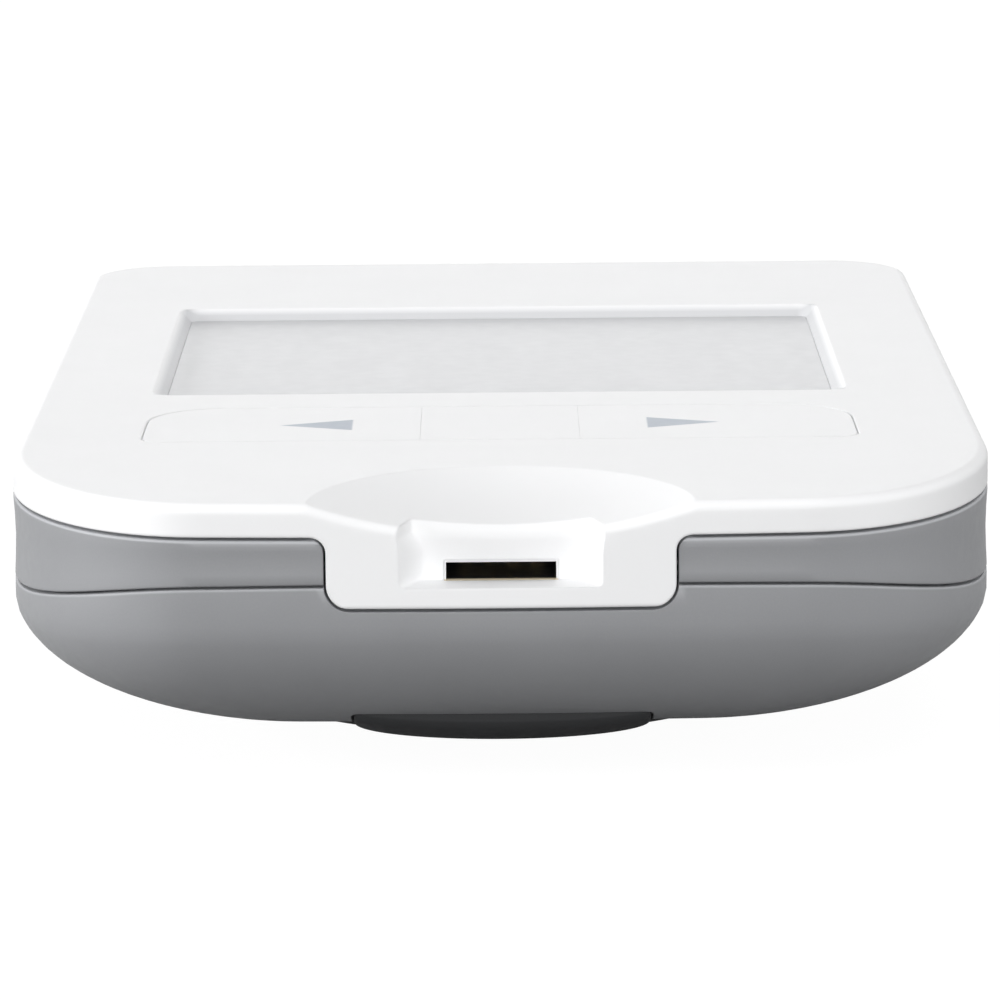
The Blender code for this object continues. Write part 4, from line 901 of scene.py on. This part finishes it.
class MeterConnector(bpy.types.Operator):
    """Ivory strip connector, whose thin collar lines the slot in the nose."""

    bl_idname = "meter.connector"
    bl_label = "Strip connector"

    def execute(self, context):
        low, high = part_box("strip_connector")
        front, back = low.y - FRONT, high.y - FRONT
        body = block("connector_body", (low.x, front, TOP - high.z), (high.x, back, TOP - low.z))
        half, wall = SLOT_HALF + COLLAR_WALL - 0.005 * MM, COLLAR_WALL - 0.005 * MM
        collar = block("collar", (-half, COLLAR_FRONT, SLOT_TOP - wall),
                       (half, front + 0.2 * MM, RECESS_FLOOR + wall))
        combine(body, [collar], "UNION")
        mouth = block("mouth", (-SLOT_HALF, 0.0, SLOT_TOP), (SLOT_HALF, back + 1.0 * MM, RECESS_FLOOR))
        combine(body, [mouth], "DIFFERENCE")
        finish_shape(body)
        # The connector is painted black deep in the slot: painted shade.
        material = moulded("ivory_connector", (0.8, 0.7, 0.52, 1.0), 0.5, variation=0.03, mask=collar_colours_and_painted_shade)
        hand_over(body, material, "housing", "ivory_plastic", "strip_connector")
        return {"FINISHED"}


class MeterScrews(bpy.types.Operator):
    """Pan head screws with a cross recess, deep in their wells."""

    bl_idname = "meter.screws"
    bl_label = "Case screws"

    def execute(self, context):
        material = moulded("plated_screw", (0.5, 0.5, 0.51, 1.0), 0.3, grain=15000.0, height=0.000003,
                           variation=0.08, metallic=1.0)
        radii = np.linspace(1.95, 0.02, 30)
        dome = 13.75 + 0.25 * np.sqrt(np.clip(1.0 - (radii / 2.0) ** 2, 0.0, 1.0))
        for i, (x, d) in enumerate(SCREWS, 1):
            profile = [(0.05, 3.6), (0.9, 4.4), (1.0, 5.0), (1.0, 12.5), (2.0, 12.5), (2.0, 13.7)]
            profile = np.concatenate([profile, np.stack([radii, dome], axis=1)]) * MM
            screw = turned(f"case_screw_{i}_head", x, d, profile, 96, cross_recess)
            finish_shape(screw, 40.0)
            hand_over(screw, material, "housing", "steel", f"case_screw_{i}")
        return {"FINISHED"}


class MeterFeet(bpy.types.Operator):
    """Rubber feet with a rounded rim and two fine rings in the sole."""

    bl_idname = "meter.feet"
    bl_label = "Rubber feet"

    def execute(self, context):
        material = moulded("matt_rubber", (0.13, 0.13, 0.135, 1.0), 0.8, grain=5000.0, height=0.00001,
                           variation=0.06)
        turn = np.linspace(0.0, math.pi / 2, 8)
        rim = np.stack([FOOT_RADIUS - FOOT_ROUND + FOOT_ROUND * np.cos(turn),
                        FOOT_SOLE - FOOT_ROUND + FOOT_ROUND * np.sin(turn)], axis=1)
        radii = np.linspace(1.85, 0.02, 28) * MM
        rings = np.sin(radii / SOLE_RADIUS * 2.5 * math.pi + math.pi / 2).clip(-1, 0)
        sole = FOOT_SOLE - 0.12 * MM * rings**2
        top = [[0.05 * MM, FOOT_TOP], [FOOT_RADIUS, FOOT_TOP]]
        profile = np.concatenate([top, rim, np.stack([radii, sole], 1)])
        for i, (x, d) in enumerate(FEET, 1):
            foot = turned(f"rubber_foot_{i}_pad", x, d, profile, 64)
            finish_shape(foot, 40.0)
            hand_over(foot, material, "housing", "rubber_grey", f"rubber_foot_{i}")
        return {"FINISHED"}


class MeterInside(bpy.types.Operator):
    """Finishes for the carried-over pieces: contacts, display, board and its parts, cells."""

    bl_idname = "meter.inside"
    bl_label = "Inner pieces"

    def execute(self, context):
        finishes = {
            "black_plastic": moulded("black_moulding", (0.02, 0.02, 0.022, 1.0), 0.55, variation=0.1),
            "board_green": moulded("board_mask", (0.02, 0.15, 0.065, 1.0), 0.38, grain=3000.0, variation=0.08,
                                   coat=0.3),
            "gold_contact": moulded("plated_contact", (0.82, 0.6, 0.26, 1.0), 0.28, grain=20000.0,
                                    variation=0.05, metallic=1.0, stretch=(1.0, 0.1, 1.0)),
            "steel": moulded("brushed_steel", (0.6, 0.6, 0.61, 1.0), 0.3, grain=16000.0, height=0.000002,
                             variation=0.05, metallic=1.0, stretch=(1.0, 0.06, 1.0)),
            "silicone": moulded("layered_silicone", (0.62, 0.45, 0.48, 1.0), 0.7, grain=4000.0,
                                variation=0.06, stretch=(1.0, 0.1, 1.0)),
            "display_glass": moulded("display_cell", (0.5, 0.53, 0.5, 1.0), 0.15, variation=0.01),
            "white_plastic": white_plastic("white_holder"),
        }
        slots = {row["node"]: row["material_slot"] for row in frame["record"]["subparts"]}
        for name, node in frame["nodes"].items():
            if not node.hide_render and slots[name] in finishes:
                for place in node.material_slots:
                    place.material = finishes[slots[name]]
        return {"FINISHED"}


def lamp(name, location, turn, size, power):
    """A square soft box, turned about X and then about Z, in degrees."""
    data = bpy.data.lights.new(name, "AREA")
    data.shape, data.size, data.energy = "SQUARE", size, power
    made = bpy.data.objects.new(name, data)
    made.location = location
    made.rotation_euler = (math.radians(turn[0]), 0.0, math.radians(turn[1]))
    bpy.context.scene.collection.objects.link(made)


def straight_rays(nodes):
    """One for rays from the camera, a mirror or through glass, and nothing for light that bounces softly."""
    rays = nodes.new("ShaderNodeLightPath")
    return [rays.outputs[name] for name in ("Is Camera Ray", "Is Glossy Ray", "Is Transmission Ray")]


def add_up(nodes, links, sockets):
    """The sum of sockets, held at one or less."""
    total = sockets[0]
    for socket in sockets[1:]:
        total = reckon(nodes, links, "ADD", total, socket, clamp=True)
    return total


class MeterStage(bpy.types.Operator):
    """Camera at the photograph's angle, plain soft boxes, a white floor and a white world."""

    bl_idname = "meter.stage"
    bl_label = "Stage"

    def execute(self, context):
        scene = bpy.context.scene
        data = bpy.data.cameras.new("camera")
        data.sensor_width, data.lens, data.clip_start, data.clip_end = 36.0, LENS, 0.01, 20.0
        camera = bpy.data.objects.new("camera", data)
        turn = Matrix.Rotation(math.radians(90.0 - PITCH), 4, "X")
        turn = turn @ Matrix.Rotation(math.radians(ROLL), 4, "Z")
        place = (CAMERA_SIDE, FRONT - CAMERA_AWAY, TOP + CAMERA_ABOVE)
        camera.matrix_world = Matrix.Translation(place) @ turn
        scene.collection.objects.link(camera)
        scene.camera = camera
        scene.view_settings.view_transform = "Standard"
        for name, row in LAMPS.items():
            lamp(name, *row)
        self.floor()
        world = scene.world or bpy.data.worlds.new("world")
        scene.world = world
        world.use_nodes = True
        nodes, links = world.node_tree.nodes, world.node_tree.links
        back = nodes["Background"]
        bright = add_up(nodes, links, straight_rays(nodes))
        strength = spread(nodes, links, bright, WORLD_LIGHT, 1.0, (0.0, 1.0))
        back.inputs["Color"].default_value = (1.0, 1.0, 1.0, 1.0)
        links.new(strength, back.inputs["Strength"])
        return {"FINISHED"}

    def floor(self):
        """A wide flat sheet: white with the meter's shadow to the camera and to mirrors, dark to soft light."""
        across = np.linspace(-6.0, 6.0, 3)
        x, y = np.meshgrid(across, across)
        points = np.column_stack([x.ravel(), y.ravel(), np.full(x.size, -0.00002)])
        index = np.arange(9).reshape(3, 3)
        corners = (index[:-1, :-1], index[:-1, 1:], index[1:, 1:], index[1:, :-1])
        quads = np.stack(corners, axis=-1).reshape(-1, 4)
        mesh = bpy.data.meshes.new("floor")
        mesh.from_pydata(points.tolist(), [], quads.tolist())
        floor = bpy.data.objects.new("floor", mesh)
        bpy.context.scene.collection.objects.link(floor)
        made = bpy.data.materials.new("white_table")
        made.use_nodes = True
        nodes, links = made.node_tree.nodes, made.node_tree.links
        nodes.clear()
        dark, pale = nodes.new("ShaderNodeBsdfDiffuse"), nodes.new("ShaderNodeBsdfDiffuse")
        dark.inputs["Color"].default_value = (0.125, 0.125, 0.125, 1.0)
        pale.inputs["Color"].default_value = (0.12, 0.12, 0.12, 1.0)
        glow, both = nodes.new("ShaderNodeEmission"), nodes.new("ShaderNodeAddShader")
        glow.inputs["Strength"].default_value = 0.96
        links.new(pale.outputs[0], both.inputs[0])
        links.new(glow.outputs[0], both.inputs[1])
        sheen = nodes.new("ShaderNodeBsdfDiffuse")
        sheen.inputs["Color"].default_value = (0.95, 0.95, 0.95, 1.0)
        rays = straight_rays(nodes)
        mirror, clear = nodes.new("ShaderNodeMixShader"), nodes.new("ShaderNodeBsdfTransparent")
        links.new(add_up(nodes, links, rays[1:]), mirror.inputs[0])
        links.new(dark.outputs[0], mirror.inputs[1])
        links.new(sheen.outputs[0], mirror.inputs[2])
        pick = nodes.new("ShaderNodeMixShader")
        links.new(rays[0], pick.inputs[0])
        links.new(mirror.outputs[0], pick.inputs[1])
        links.new(both.outputs[0], pick.inputs[2])
        side, facing = nodes.new("ShaderNodeMixShader"), nodes.new("ShaderNodeNewGeometry")
        links.new(facing.outputs["Backfacing"], side.inputs[0])
        links.new(pick.outputs[0], side.inputs[1])
        links.new(clear.outputs[0], side.inputs[2])
        links.new(side.outputs[0], nodes.new("ShaderNodeOutputMaterial").inputs["Surface"])
        mesh.materials.append(made)


STEPS = (
    MeterStage, MeterCover, MeterBand, MeterCase, MeterDoor, MeterWindow, MeterKeys, MeterConnector,
    MeterScrews, MeterFeet, MeterInside,
)


class MeterPanel(bpy.types.Panel):
    """Lists the sizes, the colours and the steps that build the meter."""

    bl_idname = "VIEW3D_PT_meter"
    bl_label = "Blood glucose meter"
    bl_space_type = "VIEW_3D"
    bl_region_type = "UI"
    bl_category = "Meter"

    def draw(self, context):
        for name in MeterSizes.__annotations__:
            self.layout.prop(context.scene.meter_sizes, name)
        for step in STEPS:
            self.layout.operator(step.bl_idname)


CLASSES = (MeterSizes, *STEPS, MeterPanel)


def register():
    for made in CLASSES:
        bpy.utils.register_class(made)
    bpy.types.Scene.meter_sizes = bpy.props.PointerProperty(type=MeterSizes)


def unregister():
    del bpy.types.Scene.meter_sizes
    for made in reversed(CLASSES):
        bpy.utils.unregister_class(made)


def main():
    register()
    for step in STEPS:
        group, name = step.bl_idname.split(".")
        getattr(getattr(bpy.ops, group), name)()


if __name__ == "__main__":
    main()
